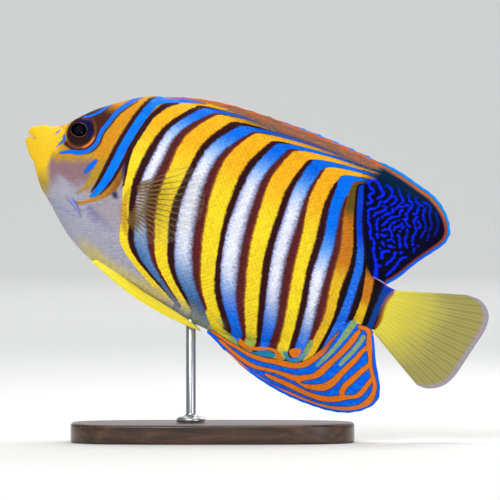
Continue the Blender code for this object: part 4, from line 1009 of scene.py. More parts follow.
# A fin: a thin closed sheet, thickest at its foot, with a ridge along each ray. Soft rays fork towards the
# edge.
def finSheet(name, root, tip, spec, out=None):
    rays, perRay, rows = spec["rays"], spec["perRay"], spec["rows"]
    u = np.linspace(0, rays - 1, (rays - 1) * perRay + 1)
    roots, tips = root(u), tip(u)
    spiny = (u < spec.get("spines", 0) - 0.999).astype(float)
    fraction = u % 1.0
    reach = 1 - spec.get("notch", 0.0) * spiny * np.sin(math.pi * fraction) ** 0.8
    reach -= spec.get("scallop", 0.006) * (1 - spiny) * np.sin(math.pi * fraction) ** 2
    t = np.linspace(0, 1, rows) ** 0.9
    share = t[None, :] * reach[:, None]
    place = roots[:, None] + (tips - roots)[:, None] * share[..., None]
    width = np.linalg.norm(np.gradient(place, axis=0), axis=-1) * perRay
    ridge = np.zeros_like(share)
    fork = smoothStep(spec.get("fork", 0.42), spec.get("fork", 0.42) + 0.3, share) * (1 - spiny[:, None]) * 0.2
    again = smoothStep(0.74, 0.95, share) * (1 - spiny[:, None]) * 0.09
    for centre in (0.0, 1.0):
        for first in (-1, 1):
            for second in (-1, 1):
                gap = np.abs(fraction[:, None] - centre - first * fork - second * again) * width
                thin = spec["rayWidth"] * (1 - 0.55 * share)
                ridge = np.maximum(ridge, np.exp(-(gap / thin) ** 2))
    half = mix(spec["thick"][0], spec["thick"][1], share ** 0.8)
    half = half * mix(spec["membrane"], 1.0, ridge)
    foot, footReach = spec.get("foot", (0, 1))
    foot = foot * smoothStep(rays - 1, rays - 7, u)[:, None]
    half = half + foot * np.exp(-share * np.linalg.norm(tips - roots, axis=-1)[:, None] / footReach)
    half = half * (1 - 0.75 * smoothStep(0.965, 1.0, t)[None, :])
    half = half * (1 - 0.8 * smoothStep(0.6, 0.0, np.minimum(u, rays - 1 - u)))[:, None]
    middle = out(u[:, None], share) if out else np.zeros_like(share)
    near = np.stack([place[..., 0], middle + half, place[..., 1]], -1)
    far = np.stack([place[..., 0], middle - half, place[..., 1]], -1)
    points = np.concatenate([near, far[:, ::-1]], axis=1)
    mesh = gridMesh(name, points, wrap=True, capStart=points[0].mean(0), capEnd=points[-1].mean(0))
    faceOutwards(mesh)
    for label, values in (("ray", ridge), ("share", share), ("rayNumber", u[:, None] + 0 * share)):
        values = np.concatenate([values, values[:, ::-1]], axis=1).ravel()
        storeMarks(mesh, {label: np.append(values, [values[0], values[-1]])})
    return mesh, place, half


def shareAtX(points, x):
    line = alongLine(points, 400)
    return np.argmax(line[:, 0] >= x) / 399


# Foot and edge of the fin on the back or the belly, read by ray number: the spines first, then the soft rays.
def medianFin(fin, side):
    last = fin["spines"] - 1
    split = shareAtX(fin["edge"], fin["lastSpineTip"])

    def root(u):
        (a, b), (c, d) = fin["spineRoots"], fin["softRoots"]
        x = np.interp(u, [0, last, last + 1, last + fin["soft"]], [a, b, c, d])
        return np.stack([x, profile[side](x) - fin["sink"]], -1)

    def tip(u):
        share = np.where(u <= last, split * u / last, split + (1 - split) * (u - last) / fin["soft"])
        return alongLine(fin["edge"], share)
    return root, tip


dorsalMaterial = fleshMaterial("dorsalMembrane", 0.42, 1300, 0.1)
analMaterial = fleshMaterial("analMembrane", 0.42, 1300, 0.1)
root, tip = medianFin(dorsal, "back")
dorsalMesh, dorsalPlace, dorsalHalf = finSheet("dorsalFin", root, tip, dorsal)
storeMarks(dorsalMesh, marksAt(placesOf(dorsalMesh)))
finishPiece("dorsalFin", dorsalMesh, dorsalMaterial, "dorsal_membrane", "dorsal_fin")
root, tip = medianFin(anal, "belly")
analMesh, analPlace, analHalf = finSheet("analFin", root, tip, anal)
storeMarks(analMesh, marksAt(placesOf(analMesh)))
finishPiece("analFin", analMesh, analMaterial, "anal_membrane", "anal_fin")
print("fins of the back and belly", len(dorsalMesh.polygons), len(analMesh.polygons))

tailFin = {
    "edge": [(193.5, 21.3), (199.3, 21.6), (202.8, 20.0), (205.4, 16.8), (206.3, 12.5), (205.8, 6), (205, 0),
             (204.3, -6), (203.4, -11.5), (201.7, -15.9), (198.2, -19.6), (194.3, -21.4), (190.8, -21.6)],
    "rays": 17, "perRay": 18, "rows": 64, "thick": (1.25, 0.2), "membrane": 0.68, "rayWidth": 0.6, "fork": 0.3,
    "scallop": 0.0, "rootX": 160.0, "rootHalf": 7.6,
}
pectoral = {
    "edge": [(66, 19.8), (71.8, 17.6), (76.6, 12), (79.4, 4.5), (79, -3.5), (75.4, -10.4), (69.5, -15.6),
             (62.0, -18.2)],
    "roots": [(48.5, 1.4), (52.5, -13.0)], "rays": 16, "perRay": 12, "rows": 50, "thick": (0.7, 0.12),
    "membrane": 0.3, "rayWidth": 0.5, "fork": 0.62, "rootY": 14.2, "flare": 0.24,
}
pelvic = {
    "edge": [(100.5, -40.9), (98.0, -39.4), (94.0, -37.8), (88.0, -36.1), (80.0, -34.4), (70.0, -33.1)],
    "roots": [(46.5, -34.6), (49.5, -31.6)], "rays": 6, "perRay": 12, "rows": 70, "thick": (0.75, 0.24),
    "membrane": 0.6, "rayWidth": 0.5, "fork": 0.55, "sag": 3.0, "rootY": (3.4, 4.8), "tipY": (4.5, 6.8),
}


# Skin between rays: from the foot's colour to the far one, with the rays a little darker or lighter.
def rayMaterial(name, rayColor, footColor, farColor, edgeColor, clear, rayCover, rayShow=0.85, cloudy=0.16):
    material, tree, shader = newMaterial(name, 0.4)
    shader.inputs["Specular IOR Level"].default_value = 0.15
    ray, share = mark(tree, "ray"), mark(tree, "share")
    cloud = minus(tree, noise(tree, 90, 3, warp=0.3), 0.5)
    reach = plus(tree, share, times(tree, cloud, cloudy))
    base = blend(tree, ramp(tree, reach, 0.12, 0.72), footColor, farColor)
    shown = times(tree, ramp(tree, ray, 0.15, 0.8, 0, rayShow), ramp(tree, share, 0.5, 0.95, 1, 0.35))
    color = blend(tree, shown, base, rayColor)
    color = blend(tree, ramp(tree, share, 0.93, 0.98, 0, 0.8), color, edgeColor)
    grain = noise(tree, 1500, 3)
    tree.links.new(blend(tree, ramp(tree, grain, 0.35, 0.7, 0, 0.2), color, base), shader.inputs["Base Color"])
    clearness = ramp(tree, share, clear[0], clear[1], clear[2], clear[3])
    cover = ramp(tree, share, 0.15, 0.85, rayCover[0], rayCover[1])
    cover = times(tree, ramp(tree, ray, 0.15, 0.75), cover)
    tree.links.new(calc(tree, "MAXIMUM", clearness, cover), shader.inputs["Alpha"])
    joints = calc(tree, "SINE", times(tree, share, 190))
    joints = times(tree, joints, times(tree, ray, ramp(tree, share, 0.25, 0.5)))
    bump = put(tree, "ShaderNodeBump", {"Strength": 0.15, "Distance": 0.0002, "Height": joints})
    tree.links.new(bump, shader.inputs["Normal"])
    return material


tailMaterial = rayMaterial("tailMembrane", tint(206, 194, 100), paint["tail"], tint(154, 146, 82),
                           tint(166, 156, 186), (0.5, 1.0, 1.0, 0.86), (1.0, 1.0), 0.5, 0.22)
pectoralMaterial = rayMaterial("clearMembrane", tint(124, 88, 32), tint(130, 104, 48), tint(164, 156, 118),
                               tint(160, 154, 130), (0.04, 0.38, 0.5, 0.02), (0.85, 0.1))
pelvicMaterial = rayMaterial("pelvicMembrane", tint(255, 244, 80), tint(255, 232, 50), tint(250, 226, 56),
                             tint(214, 198, 70), (0.3, 1.0, 1.0, 0.95), (1.0, 1.0))


# A fin's foot or edge, read by ray number.
def finLine(fin, part):
    return lambda u: alongLine(fin[part], u / (fin["rays"] - 1))


def tailRoot(u):
    return np.stack([tailFin["rootX"] + 0 * u, tailFin["rootHalf"] * (1 - 2 * u / (tailFin["rays"] - 1))], -1)


def addRayFins():
    tailMesh = finSheet("tailFin", tailRoot, finLine(tailFin, "edge"), tailFin)[0]
    places = placesOf(tailMesh)                       # its foot stays inside the flesh
    x = np.minimum(places[:, 0], 168)
    limit = np.maximum(skinHalfWidth(x, places[:, 2]) * tailWidth(x) - 0.3, 0.08)
    free = smoothStep(164.0, 168.5, places[:, 0])
    half = np.abs(places[:, 1])
    places[:, 1] = np.sign(places[:, 1]) * mix(np.minimum(half, limit), half, free)
    tailMesh.vertices.foreach_set("co", places.ravel().astype(np.float32))
    finishPiece("tailFin", tailMesh, tailMaterial, "yellow_membrane", "caudal_fin")
    foot, tip = finLine(pectoral, "roots"), finLine(pectoral, "edge")
    start, end = pelvic["roots"][0][0], pelvic["edge"][0][0]
    for label, side in (("left", -1), ("right", 1)):
        def out(u, share, side=side):
            reach = np.linalg.norm(tip(u[:, 0]) - foot(u[:, 0]), axis=-1)[:, None] * share
            return side * (pectoral["rootY"] + pectoral["flare"] * reach + 0.004 * reach * (32 - reach))
        mesh = finSheet("pectoralFin", foot, tip, pectoral, out)[0]
        finishPiece("pectoralFin_" + label, mesh, pectoralMaterial, "clear_membrane", "pectoral_fin_" + label)

        def lower(u, share, side=side):
            across = u / (pelvic["rays"] - 1)
            return side * mix(mix(*pelvic["rootY"], across), mix(*pelvic["tipY"], across), share ** 0.6)
        mesh = finSheet("pelvicFin", finLine(pelvic, "roots"), finLine(pelvic, "edge"), pelvic, lower)[0]
        places = placesOf(mesh)
        share = np.clip((places[:, 0] - start) / (end - start), 0, 1)
        places[:, 2] -= pelvic["sag"] * np.sin(math.pi * share)
        mesh.vertices.foreach_set("co", places.ravel().astype(np.float32))
        finishPiece("pelvicFin_" + label, mesh, pelvicMaterial, "yellow_membrane", "pelvic_fin_" + label)


addRayFins()
print("rayed fins ready")


# Scales: thin plates sunk at the front that overlap like tiles, in rows along the fish.
scales = {
    "seed": 7, "shapeAcross": 5, "shapeAlong": 5, "columnShare": 0.52, "patch": 0.003,
    "height": [(10, 0.95), (20, 1.1), (34, 1.35), (42, 1.55), (50, 1.95), (60, 2.15), (110, 2.2), (140, 1.85),
               (168, 1.3)],
    "lift": [(10, 0.32), (34, 0.4), (44, 0.45), (56, 0.56), (140, 0.52), (168, 0.4)],
    "eyeClear": 1.42, "snoutClear": 1.2, "spineClear": 1.9, "gillClear": 0.75, "cheekClear": 0.35,
    "lastX": 163.5, "narrowX": 156,
}


def scaleShape():
    points, faces, across, along = [], [], scales["shapeAcross"], scales["shapeAlong"]
    for i in range(along + 1):
        for j in range(across):
            a, c = min(i / (along - 1), 1.0), 2 * j / (across - 1) - 1
            x = -0.52 + 1.04 * a - 0.34 * a * c * c
            y = c * 0.5 * (0.74 + 0.3 * math.sin(math.pi * (0.15 + 0.6 * a)))
            z = -0.10 + 0.235 * a - 0.13 * c * c * (0.4 + 0.6 * a)
            points.append((x, y, z) if i < along else (x + 0.012, y, -0.22))
    for i in range(along):
        for j in range(across - 1):
            k = i * across + j
            faces.append((k, k + 1, k + across + 1, k + across))
    mesh = bpy.data.meshes.new("scaleShape")
    mesh.from_pydata(points, [], faces)
    mesh.flip_normals()
    mesh.shade_smooth()
    return bpy.data.objects.new("scaleShape", mesh)


# Geometry nodes that lay one scale on each point, turned and sized by the point's own values.
def scaleLayer():
    group = bpy.data.node_groups.new("layScales", "GeometryNodeTree")
    face = group.interface
    sockets = {name: face.new_socket(name, in_out="INPUT", socket_type="NodeSocket" + kind)
               for name, kind in (("Points", "Geometry"), ("Shape", "Object"), ("Material", "Material"))}
    face.new_socket("Coat", in_out="OUTPUT", socket_type="NodeSocketGeometry")
    given, gives = group.nodes.new("NodeGroupInput").outputs, group.nodes.new("NodeGroupOutput").inputs
    shape = put(group, "GeometryNodeObjectInfo", {"Object": given["Shape"]}, "Geometry",
                transform_space="ORIGINAL")
    turned, sized = (put(group, "GeometryNodeInputNamedAttribute", {"Name": name}, "Attribute",
                         data_type="FLOAT_VECTOR") for name in ("turn", "size"))
    laid = put(group, "GeometryNodeInstanceOnPoints", {"Points": given["Points"], "Instance": shape,
                                                       "Rotation": turned, "Scale": sized}, "Instances")
    coat = put(group, "GeometryNodeRealizeInstances", {"Geometry": laid}, "Geometry")
    coat = put(group, "GeometryNodeSetMaterial", {"Geometry": coat, "Material": given["Material"]}, "Geometry")
    group.links.new(coat, gives["Coat"])
    return group, sockets


shapeObject = scaleShape()
bpy.context.scene.collection.objects.link(shapeObject)
shapePlaces = placesOf(shapeObject.data)
layerGroup, layerSockets = scaleLayer()
chance = np.random.default_rng(scales["seed"])


# One coat piece from the scales' middles, normals and rear directions, and their places on the skin's unwrap.
def laySheet(name, places, normals, rearward, height, lift, unwrap, slot, scatter=0.08):
    count = len(places)
    rearward = rearward - normals * (rearward * normals).sum(1)[:, None]
    rearward /= np.linalg.norm(rearward, axis=1)[:, None]
    sideways = np.cross(normals, rearward)
    twist = chance.uniform(-0.07, 0.07, count)[:, None]
    first = rearward * np.cos(twist) + sideways * np.sin(twist)
    second = np.cross(normals, first)
    turned = np.stack([np.arctan2(second[:, 2], normals[:, 2]), -np.arcsin(np.clip(first[:, 2], -1, 1)),
                       np.arctan2(first[:, 1], first[:, 0])], 1)
    vary = chance.uniform(0.93, 1.07, (count, 3))
    size = np.stack([height * 1.12, height * 1.05, lift], 1) * vary
    mesh = bpy.data.meshes.new(name + "Points")
    mesh.from_pydata(places.tolist(), [], [])
    for label, values in (("turn", turned), ("size", size)):
        layer = mesh.attributes.new(label, "FLOAT_VECTOR", "POINT")
        layer.data.foreach_set("vector", values.astype(np.float32).ravel())
    points = bpy.data.objects.new(name + "Points", mesh)
    bpy.context.scene.collection.objects.link(points)
    modifier = points.modifiers.new("coat", "NODES")
    modifier.node_group = layerGroup
    modifier[layerSockets["Shape"].identifier] = shapeObject
    modifier[layerSockets["Material"].identifier] = scaleMaterial
    evaluated = points.evaluated_get(bpy.context.evaluated_depsgraph_get())
    coat = bpy.data.meshes.new_from_object(evaluated)
    points.modifiers.remove(modifier)
    bpy.data.objects.remove(points)
    each = len(shapePlaces)
    jitter = (chance.uniform(-scatter, scatter, count) * height).repeat(each)
    storeMarks(coat, marksAt(placesOf(coat), jitter))
    tone = chance.uniform(0.9, 1.08, count).repeat(each)
    storeMarks(coat, {"scaleTone": tone, "scaleAlong": np.tile(shapePlaces[:, 0] + 0.5, count)})
    for spare in ("turn", "size"):
        if spare in coat.attributes:
            coat.attributes.remove(coat.attributes[spare])
    corner = np.zeros(len(coat.loops), np.int32)
    coat.loops.foreach_get("vertex_index", corner)
    local = np.tile(shapePlaces[:, :2] * scales["patch"], (count, 1))
    local[np.tile(shapePlaces[:, 2] < -0.2, count), 0] += 0.0002
    unwrapped = np.repeat(unwrap, each, axis=0) + local
    coat.uv_layers.new(name="OFBake").data.foreach_set("uv", unwrapped[corner].astype(np.float32).ravel())
    coat.name = name
    coat.shade_smooth()
    finishPiece(name, coat, scaleMaterial, slot)
    print(name, count, "scales", sum(len(f.vertices) - 2 for f in coat.polygons), "triangles")


# Reads the skin's grid between its rings and columns.
def onSkin(grid, x, angle):
    row = firstRing + np.interp(x, ringX, np.arange(len(ringX)))
    column = (angle / (2 * math.pi) % 1.0) * skin["sides"]
    r, c = np.floor(row).astype(int), np.floor(column).astype(int)
    r = np.clip(r, 0, len(grid) - 2)
    fr, fc = (row - r)[:, None], (column - c)[:, None]
    c0, c1 = c % skin["sides"], (c + 1) % skin["sides"]
    return mix(mix(grid[r, c0], grid[r, c1], fc), mix(grid[r + 1, c0], grid[r + 1, c1], fc), fr)


# Rows counted from the middle of each flank, every second column set half a scale higher.
def bodyLattice():
    heightAt, stations, x = curveThrough(scales["height"]), [], 11.0
    while x < 167.0:
        stations.append(x)
        x += float(heightAt(x)) * scales["columnShare"]
    xs, angles, sides = [], [], []
    fine = np.linspace(0, math.pi, 721)
    for number, x in enumerate(stations):
        line = sectionPoint(np.full_like(fine, x), fine)
        run = np.concatenate([[0], np.cumsum(np.linalg.norm(np.diff(line[:, 1:], axis=0), axis=1))])
        middle, h = run[360], float(heightAt(x))
        first = -math.floor(middle / h)
        rows = (np.arange(first, math.floor((run[-1] - middle) / h) + 1) + 0.5 * (number % 2)) * h + middle
        rows = rows[(rows > 0.2 * h) & (rows < run[-1] - 0.2 * h)]
        found = np.interp(rows, run, fine)
        for side in (1, -1):
            xs.append(np.full_like(found, x))
            angles.append(found if side > 0 else 2 * math.pi - found)
            sides.append(np.full_like(found, side))
    return np.concatenate(xs), np.concatenate(angles), np.concatenate(sides)


def addBodyScales():
    x, angle, side = bodyLattice()
    places, facing = onSkin(skinPoints, x, angle), onSkin(skinNormals, x, angle)
    ahead = onSkin(np.gradient(skinPoints, axis=0), x, angle)
    facing /= np.linalg.norm(facing, axis=1)[:, None]
    px, pz = places[:, 0], places[:, 2]
    keep = (orbitRing(px, pz) > scales["eyeClear"]) & (px > snoutEdge(pz) + scales["snoutClear"])
    keep &= (px < scales["lastX"]) & ((px < scales["narrowX"]) | (np.abs(np.sin(angle)) > 0.4))
    keep &= lineDistance([(24, -13.4), (30, -16.5), (36, -20)], px, pz) > scales["spineClear"]
    for edge, clear in ((gillEdge, scales["gillClear"]), (cheekEdge, scales["cheekClear"])):
        keep &= np.abs(lineDistance(alongLine(edge, 40), px, pz)) > clear
    unwrap = np.stack([0.02 + 0.96 * x / 170, 0.02 + 0.96 * angle / (2 * math.pi)], 1)
    height, lift = curveThrough(scales["height"])(x), curveThrough(scales["lift"])(x)
    for label, way in (("right", 1), ("left", -1)):
        for part, low, high, slot in (("head", 0, 44, "face_skin"), ("flank", 44, 96, "banded_skin"),
                                      ("rear", 96, 170, "banded_skin")):
            here = keep & (side == way) & (x >= low) & (x < high)
            laySheet(part + "Scales_" + label, places[here], facing[here], ahead[here], height[here],
                     lift[here], unwrap[here], slot)


# Small scales climb from the body onto the fins of the back and belly, in rows that follow the rays.
def addFinScales(name, place, half, top, slot, spec):
    flat = place.reshape(-1, 2)
    tree = KDTree(len(flat))
    for k, (px, pz) in enumerate(flat):
        tree.insert((px, pz, 0), k)
    tree.balance()
    h = spec["scaleHeight"]
    step = h * scales["columnShare"]
    low, high = flat.min(0), flat.max(0)
    columns = np.arange(low[0], high[0], step)
    rows = np.arange(low[1], high[1], h)
    gx, gz = np.meshgrid(columns, rows, indexing="ij")
    gz = gz + (np.arange(len(columns)) % 2)[:, None] * h / 2
    x, z = gx.ravel(), gz.ravel()
    above = (z - profile["back"](x)) if top else (profile["belly"](x) - z)
    outline = alongLine(spec["edge"], 80)
    region = outline.tolist() + [(flat[-1, 0], 0.0), (flat[0, 0], 0.0)]
    edgeGap = lineDistance(outline, x, z)
    keep = insidePatch([tuple(v) for v in region], x, z) & (edgeGap > spec["bare"]) & (above > -0.3)
    x, z = x[keep], z[keep]
    rows = place.shape[1]
    nearest = np.array([tree.find((a, b, 0))[1] for a, b in zip(x, z)])
    u, t = nearest // rows, nearest % rows
    before, after = np.maximum(t - 1, 0), np.minimum(t + 1, rows - 1)
    ray = place[u, after] - place[u, before]
    length = np.linalg.norm(ray, axis=1)
    steep = (half[u, after] - half[u, before]) / np.maximum(length, 1e-3)
    ray /= np.maximum(length, 1e-6)[:, None]
    for way in (1, -1):
        y = way * (half[u, t] - 0.02)
        normals = np.tile([0.0, way, 0.0], (len(x), 1))
        normals[:, 0], normals[:, 2] = -steep * ray[:, 0], -steep * ray[:, 1]
        normals /= np.linalg.norm(normals, axis=1)[:, None]
        rearward = np.stack([ray[:, 0] + 0.5, 0 * x, ray[:, 1]], 1)
        unwrap = np.stack([0.02 + 0.96 * (x - low[0]) / (high[0] - low[0]),
                           (0.02 if way > 0 else 0.51) + 0.47 * (z - low[1]) / (high[1] - low[1])], 1)
        laySheet(name + ("_right" if way > 0 else "_left"), np.stack([x, y, z], 1), normals, rearward,
                 np.full_like(x, h), np.full_like(x, spec["scaleLift"]), unwrap, slot, 0.03)


addBodyScales()
addFinScales("dorsalScales", dorsalPlace, dorsalHalf, True, "dorsal_membrane", dorsal)
addFinScales("analScales", analPlace, analHalf, False, "anal_membrane", anal)
bpy.data.objects.remove(shapeObject)

# The eye: a dark lens in a thin golden ring, the iris round it, and the edge that turns into the orbit.
eyeball = {
    "pupilCentre": (-1.0, 0.3), "pupil": (3.45, 2.95), "iris": (5.35, 6.45), "edge": (6.0, 6.95),
    "sides": 128, "steps": (16, 24, 8), "recess": 0.42,
}


def addEyes():
    material, tree, shader = newMaterial("eye", 0.08)
    shader.inputs["Specular IOR Level"].default_value = 0.02
    ring, high = mark(tree, "eyeRing"), mark(tree, "eyeHigh")
    fibres = noise(tree, 2600, 3, warp=0.4)
    rearUp = ramp(tree, plus(tree, times(tree, mark(tree, "eyeAlong"), 0.7), high), 0.5, 3.5)
    iris = blend(tree, rearUp, tint(44, 24, 24), tint(12, 18, 66))
    iris = blend(tree, times(tree, ramp(tree, fibres, 0.45, 0.7), 0.35), iris, tint(70, 44, 50))
    iris = blend(tree, ramp(tree, ring, 1.75, 2.0, 0, 0.5), iris, tint(110, 64, 40))
    golden = blend(tree, ramp(tree, fibres, 0.35, 0.6), tint(74, 50, 46), tint(164, 120, 72))
    color = blend(tree, ramp(tree, ring, 1.00, 1.02), tint(0, 0, 9), golden)
    color = blend(tree, ramp(tree, ring, 1.06, 1.10), color, iris)
    color = blend(tree, ramp(tree, ring, 2.0, 2.06), color, paint["orbit"])
    tree.links.new(color, shader.inputs["Base Color"])
    for label, side in (("left", -1), ("right", 1)):
        axis, middle = eyeAxis(side), eyeMiddle(side)
        along = Vector((0, 0, 1)).cross(axis).normalized() * -side
        up = axis.cross(along) * -side
        s = np.concatenate([first + np.linspace(0, 1, steps)[1:]
                            for first, steps in enumerate(eyeball["steps"])])
        a = np.linspace(0, 2 * math.pi, eyeball["sides"], endpoint=False)
        stations = [(0, (0, 0)), (1, eyeball["pupil"]), (2, eyeball["iris"]), (3, eyeball["edge"])]
        keys = [k for k, _ in stations]
        rp = np.interp(s, keys, [r[0] for _, r in stations])
        rq = np.interp(s, keys, [r[1] for _, r in stations])
        cp = np.interp(s, [0, 1, 2, 3], [eyeball["pupilCentre"][0]] * 2 + [0, 0])
        cq = np.interp(s, [0, 1, 2, 3], [eyeball["pupilCentre"][1]] * 2 + [0, 0])
        p, q = cp[:, None] + rp[:, None] * np.cos(a), cq[:, None] + rq[:, None] * np.sin(a)
        inner = 1 - (p / eye["halfLength"]) ** 2 - (q / eye["halfHeight"]) ** 2
        dome = eye["halfDepth"] * np.sqrt(np.clip(inner, 0.0, 1))
        recess = np.interp(s, [0, 0.9, 1.0, 1.03, 1.1, 1.9, 2.02, 2.15, 3],
                           [0.12, 0.2, 0.75, 0.75, 0.30, eyeball["recess"], 0.35, 0.12, 0.3])
        w = dome - recess[:, None]
        points = (np.array(middle) + p[..., None] * np.array(along) + q[..., None] * np.array(up)
                  + w[..., None] * np.array(axis))
        centre = (Vector(middle) + along * eyeball["pupilCentre"][0] + up * eyeball["pupilCentre"][1]
                  + axis * (eye["halfDepth"] - 0.15))
        mesh = gridMesh("eye", points, wrap=True, capStart=np.array(centre),
                        capEnd=np.array(middle - axis * 2.2))
        faceOutwards(mesh)
        for name, values, ends in (("eyeRing", s[:, None] + 0 * p, (0, 3)),
                                   ("eyeAlong", p, (0, 0)), ("eyeHigh", q, (0, 0))):
            storeMarks(mesh, {name: np.append(values.ravel(), ends)})
        finishPiece("eyeball_" + label, mesh, material, "eye", "eye_" + label)


addEyes()

# The spine at the corner of each cheek.
cheekSpine = {"root": (26.0, -14.6), "tip": (34.8, -19.9), "radius": 1.4, "tipRadius": 0.26, "lift": 1.1}


def addCheekSpines():
    material, tree, shader = newMaterial("cheekSpine", 0.35)
    shader.inputs["Specular IOR Level"].default_value = 0.1
    height, along = mark(tree, "spineHigh"), mark(tree, "spineAlong")
    edges = ramp(tree, calc(tree, "ABSOLUTE", height), 0.45, 0.8)
    edges = times(tree, edges, ramp(tree, along, 0.12, 0.45))
    color = blend(tree, ramp(tree, along, 0.0, 0.4), paint["cheekLow"], tint(146, 148, 204))
    color = blend(tree, edges, color, tint(36, 84, 200))
    color = blend(tree, ramp(tree, noise(tree, 1400, 3), 0.4, 0.75, 0, 0.25), color, tint(150, 126, 148))
    tree.links.new(color, shader.inputs["Base Color"])
    for label, side in (("left", -1), ("right", 1)):
        share = np.linspace(0, 1, 48)
        x = mix(cheekSpine["root"][0], cheekSpine["tip"][0], share)
        z = mix(cheekSpine["root"][1], cheekSpine["tip"][1], share) + 0.9 * np.sin(math.pi * share)
        radius = mix(cheekSpine["radius"], cheekSpine["tipRadius"], share ** 1.15)
        lift = (cheekSpine["lift"] + 1.54) * share ** 0.6 - 1.54
        core = np.stack([x, side * (skinHalfWidth(x, z) + lift), z], -1)
        ahead = np.gradient(core, axis=0)
        ahead /= np.linalg.norm(ahead, axis=1)[:, None]
        across = np.cross(ahead, [0, side, 0])
        across /= np.linalg.norm(across, axis=1)[:, None]
        upwards = np.cross(ahead, across)
        a = np.linspace(0, 2 * math.pi, 28, endpoint=False)
        points = core[:, None] + radius[:, None, None] * (np.cos(a)[None, :, None] * across[:, None]
                                                          + np.sin(a)[None, :, None] * upwards[:, None])
        mesh = gridMesh("cheekSpine", points, wrap=True, capStart=core[0], capEnd=core[-1] + ahead[-1] * 0.2)
        faceOutwards(mesh)
        high = (points[..., 2] - core[:, None, 2]) / radius[:, None]
        for name, values, ends in (("spineHigh", high, (0, 0)),
                                   ("spineAlong", share[:, None] + 0 * high, (0, 1))):
            storeMarks(mesh, {name: np.append(values.ravel(), ends)})
        finishPiece("cheekSpine_" + label, mesh, material, "cheek_skin")


addCheekSpines()
print("eyes and cheek spines ready")

# The display stand takes its place from the CAD's own boxes.
stand = {"roundness": 0.62, "bevel": 1.2, "bevelRings": 10, "sides": 200, "rodSides": 64}


def addStand():
    wood, tree, shader = newMaterial("darkWood", 0.38, 0.35, 0.15)
    place = put(tree, "ShaderNodeTexCoord", out=3)
    place = put(tree, "ShaderNodeMapping", {"Vector": place, "Scale": (6, 70, 70)})
    grain = noise(tree, 5, 6, place, 0.6, 0.8)
    fine = noise(tree, 60, 4, place)
    color = blend(tree, ramp(tree, grain, 0.35, 0.7), tint(46, 26, 16), tint(94, 58, 34))
    tree.links.new(blend(tree, ramp(tree, fine, 0.45, 0.75, 0, 0.4), color, tint(30, 17, 11)),
                   shader.inputs["Base Color"])
    low, high = (np.array(v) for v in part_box("stand_base"))
    centre, half = (low + high) / 2, (high - low) / 2
    a = np.linspace(0, 2 * math.pi, stand["sides"], endpoint=False)
    outline = [np.sign(c) * np.abs(c) ** stand["roundness"] for c in (np.cos(a), np.sin(a))]
    rings = []
    for level, way in ((low[2], 1), (high[2], -1)):
        for k in range(stand["bevelRings"] + 1):
            b = math.pi / 2 * k / stand["bevelRings"]
            inset, rise = stand["bevel"] * mm * (1 - math.sin(b)), stand["bevel"] * mm * (1 - math.cos(b))
            ring = np.stack([centre[0] + outline[0] * (half[0] - inset), outline[1] * (half[1] - inset),
                             np.full_like(a, level + way * rise)], -1)
            rings.append(ring)
        if way > 0:
            first, rings = rings, []
    rings = first + rings[::-1]
    mesh = gridMesh("displayBase", np.array(rings), wrap=True, capStart=[centre[0], 0, low[2]],
                    capEnd=[centre[0], 0, high[2]])
    finishPiece("displayBase", faceOutwards(mesh), wood, "base_wood", "stand_base", posed=False)

    steel, tree, shader = newMaterial("brushedSteel", 0.28, 0.0, 0.1, 1.0)
    shader.inputs["Base Color"].default_value = tint(196, 198, 202)
    low, high = (np.array(v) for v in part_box("stand_rod"))
    x = (low[0] + high[0]) / 2
    line = [(6.0, 0), (6.0, 1.1), (5.8, 1.5), (5.35, 1.85), (4.6, 2.15), (3.6, 2.35), (2.7, 2.6), (2.2, 3.0),
            (2.0, 3.6)]
    line = [(r * mm, low[2] + h * mm) for r, h in line] + [(2.0 * mm, high[2] - 0.4 * mm), (1.6 * mm, high[2])]
    b = np.linspace(0, 2 * math.pi, stand["rodSides"], endpoint=False)
    rings = np.array([np.stack([x + r * np.cos(b), r * np.sin(b), np.full_like(b, h)], -1) for r, h in line])
    mesh = gridMesh("displayRod", rings, wrap=True, capStart=[x, 0, low[2]], capEnd=[x, 0, high[2]])
    finishPiece("displayRod", faceOutwards(mesh), steel, "rod_steel", "stand_rod", posed=False)


addStand()


# A pale floor that curves up into a backdrop, soft lights and the photo's long lens.
studio = {
    "floorColor": tint(226, 226, 224), "depth": 4.6, "width": 14.0, "curve": 1.3, "height": 5.0,
    "distance": 3.0, "elevation": 1.0, "worldStrength": 0.27, "aim": (0.0, 0.0, 0.08),
    "lights": [("key", (-0.45, -0.95, 0.9), 0.9, 7.7), ("fill", (0.8, -0.9, 0.3), 0.6, 2.5),
               ("top", (0.1, 0.2, 1.0), 0.6, 3.2), ("rim", (0.5, 0.7, 0.6), 0.5, 2.4),
               ("backdrop", (0.0, 0.35, 1.5), 0.8, 7.0), ("glint", (-0.15, -1.15, 0.62), 0.07, 1.8),
               ("floor", (0.0, 2.1, 1.7), 1.6, 7.0), ("wall", (0.0, 1.8, 2.8), 2.0, 52.0)],
    "aims": {"floor": (0.0, 2.1, 0.0), "wall": (0.0, 4.6, 0.5)},      # the others point at the model
}


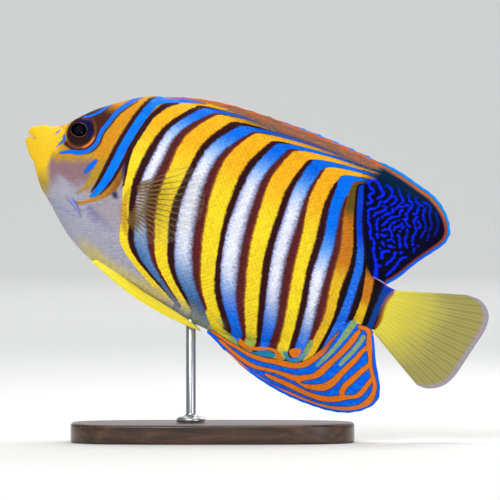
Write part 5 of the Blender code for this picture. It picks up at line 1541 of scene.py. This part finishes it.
def addStudio():
    material, tree, shader = newMaterial("studioFloor", 0.8)
    shader.inputs["Base Color"].default_value = studio["floorColor"]
    bend = np.linspace(0, math.pi / 2, 24)
    depth, curve, wide = studio["depth"], studio["curve"], studio["width"] / 2
    line = [(-depth, 0.0), (depth - curve, 0.0)]
    line += [(depth - curve + curve * math.sin(b), curve * (1 - math.cos(b))) for b in bend[1:]]
    line += [(depth, studio["height"])]
    points = np.array([[(-wide, y, z), (wide, y, z)] for y, z in line])
    mesh = gridMesh("studioFloor", points)
    mesh.materials.append(material)
    floor = bpy.data.objects.new("studioFloor", mesh)
    bpy.context.scene.collection.objects.link(floor)
    for name, place, size, power in studio["lights"]:
        light = bpy.data.lights.new(name, "AREA")
        light.shape, light.size, light.energy = "DISK", size, power
        lamp = bpy.data.objects.new(name, light)
        lamp.location = place
        aim = Vector(studio["aims"].get(name, studio["aim"]))
        lamp.rotation_euler = (aim - Vector(place)).to_track_quat("-Z", "Y").to_euler()
        bpy.context.scene.collection.objects.link(lamp)
    world = bpy.data.worlds.new("studio")
    world.use_nodes = True
    background = world.node_tree.nodes["Background"]
    background.inputs["Color"].default_value = (0.9, 0.94, 1.0, 1)
    background.inputs["Strength"].default_value = studio["worldStrength"]
    bpy.context.scene.world = world

    camera = bpy.data.cameras.new("camera")
    camera.sensor_width = 36
    camera.lens = camera.sensor_width * studio["distance"] / (photo["frameWidth"] * mm)
    px, py = photo["snoutPixel"]
    scale = photo["frameWidth"] / photo["size"] * mm
    snout = pose @ Vector((0, 0, 0))
    middle = snout + Vector((photo["size"] / 2 - px, 0, py - photo["size"] / 2)) * scale
    rise = math.radians(studio["elevation"])
    viewer = bpy.data.objects.new("camera", camera)
    viewer.location = middle + Vector((0, -math.cos(rise), math.sin(rise))) * studio["distance"]
    viewer.rotation_euler = (math.pi / 2 - rise, 0, 0)
    bpy.context.scene.collection.objects.link(viewer)
    bpy.context.scene.camera = viewer
    bpy.context.scene.view_settings.view_transform = "Standard"


addStudio()
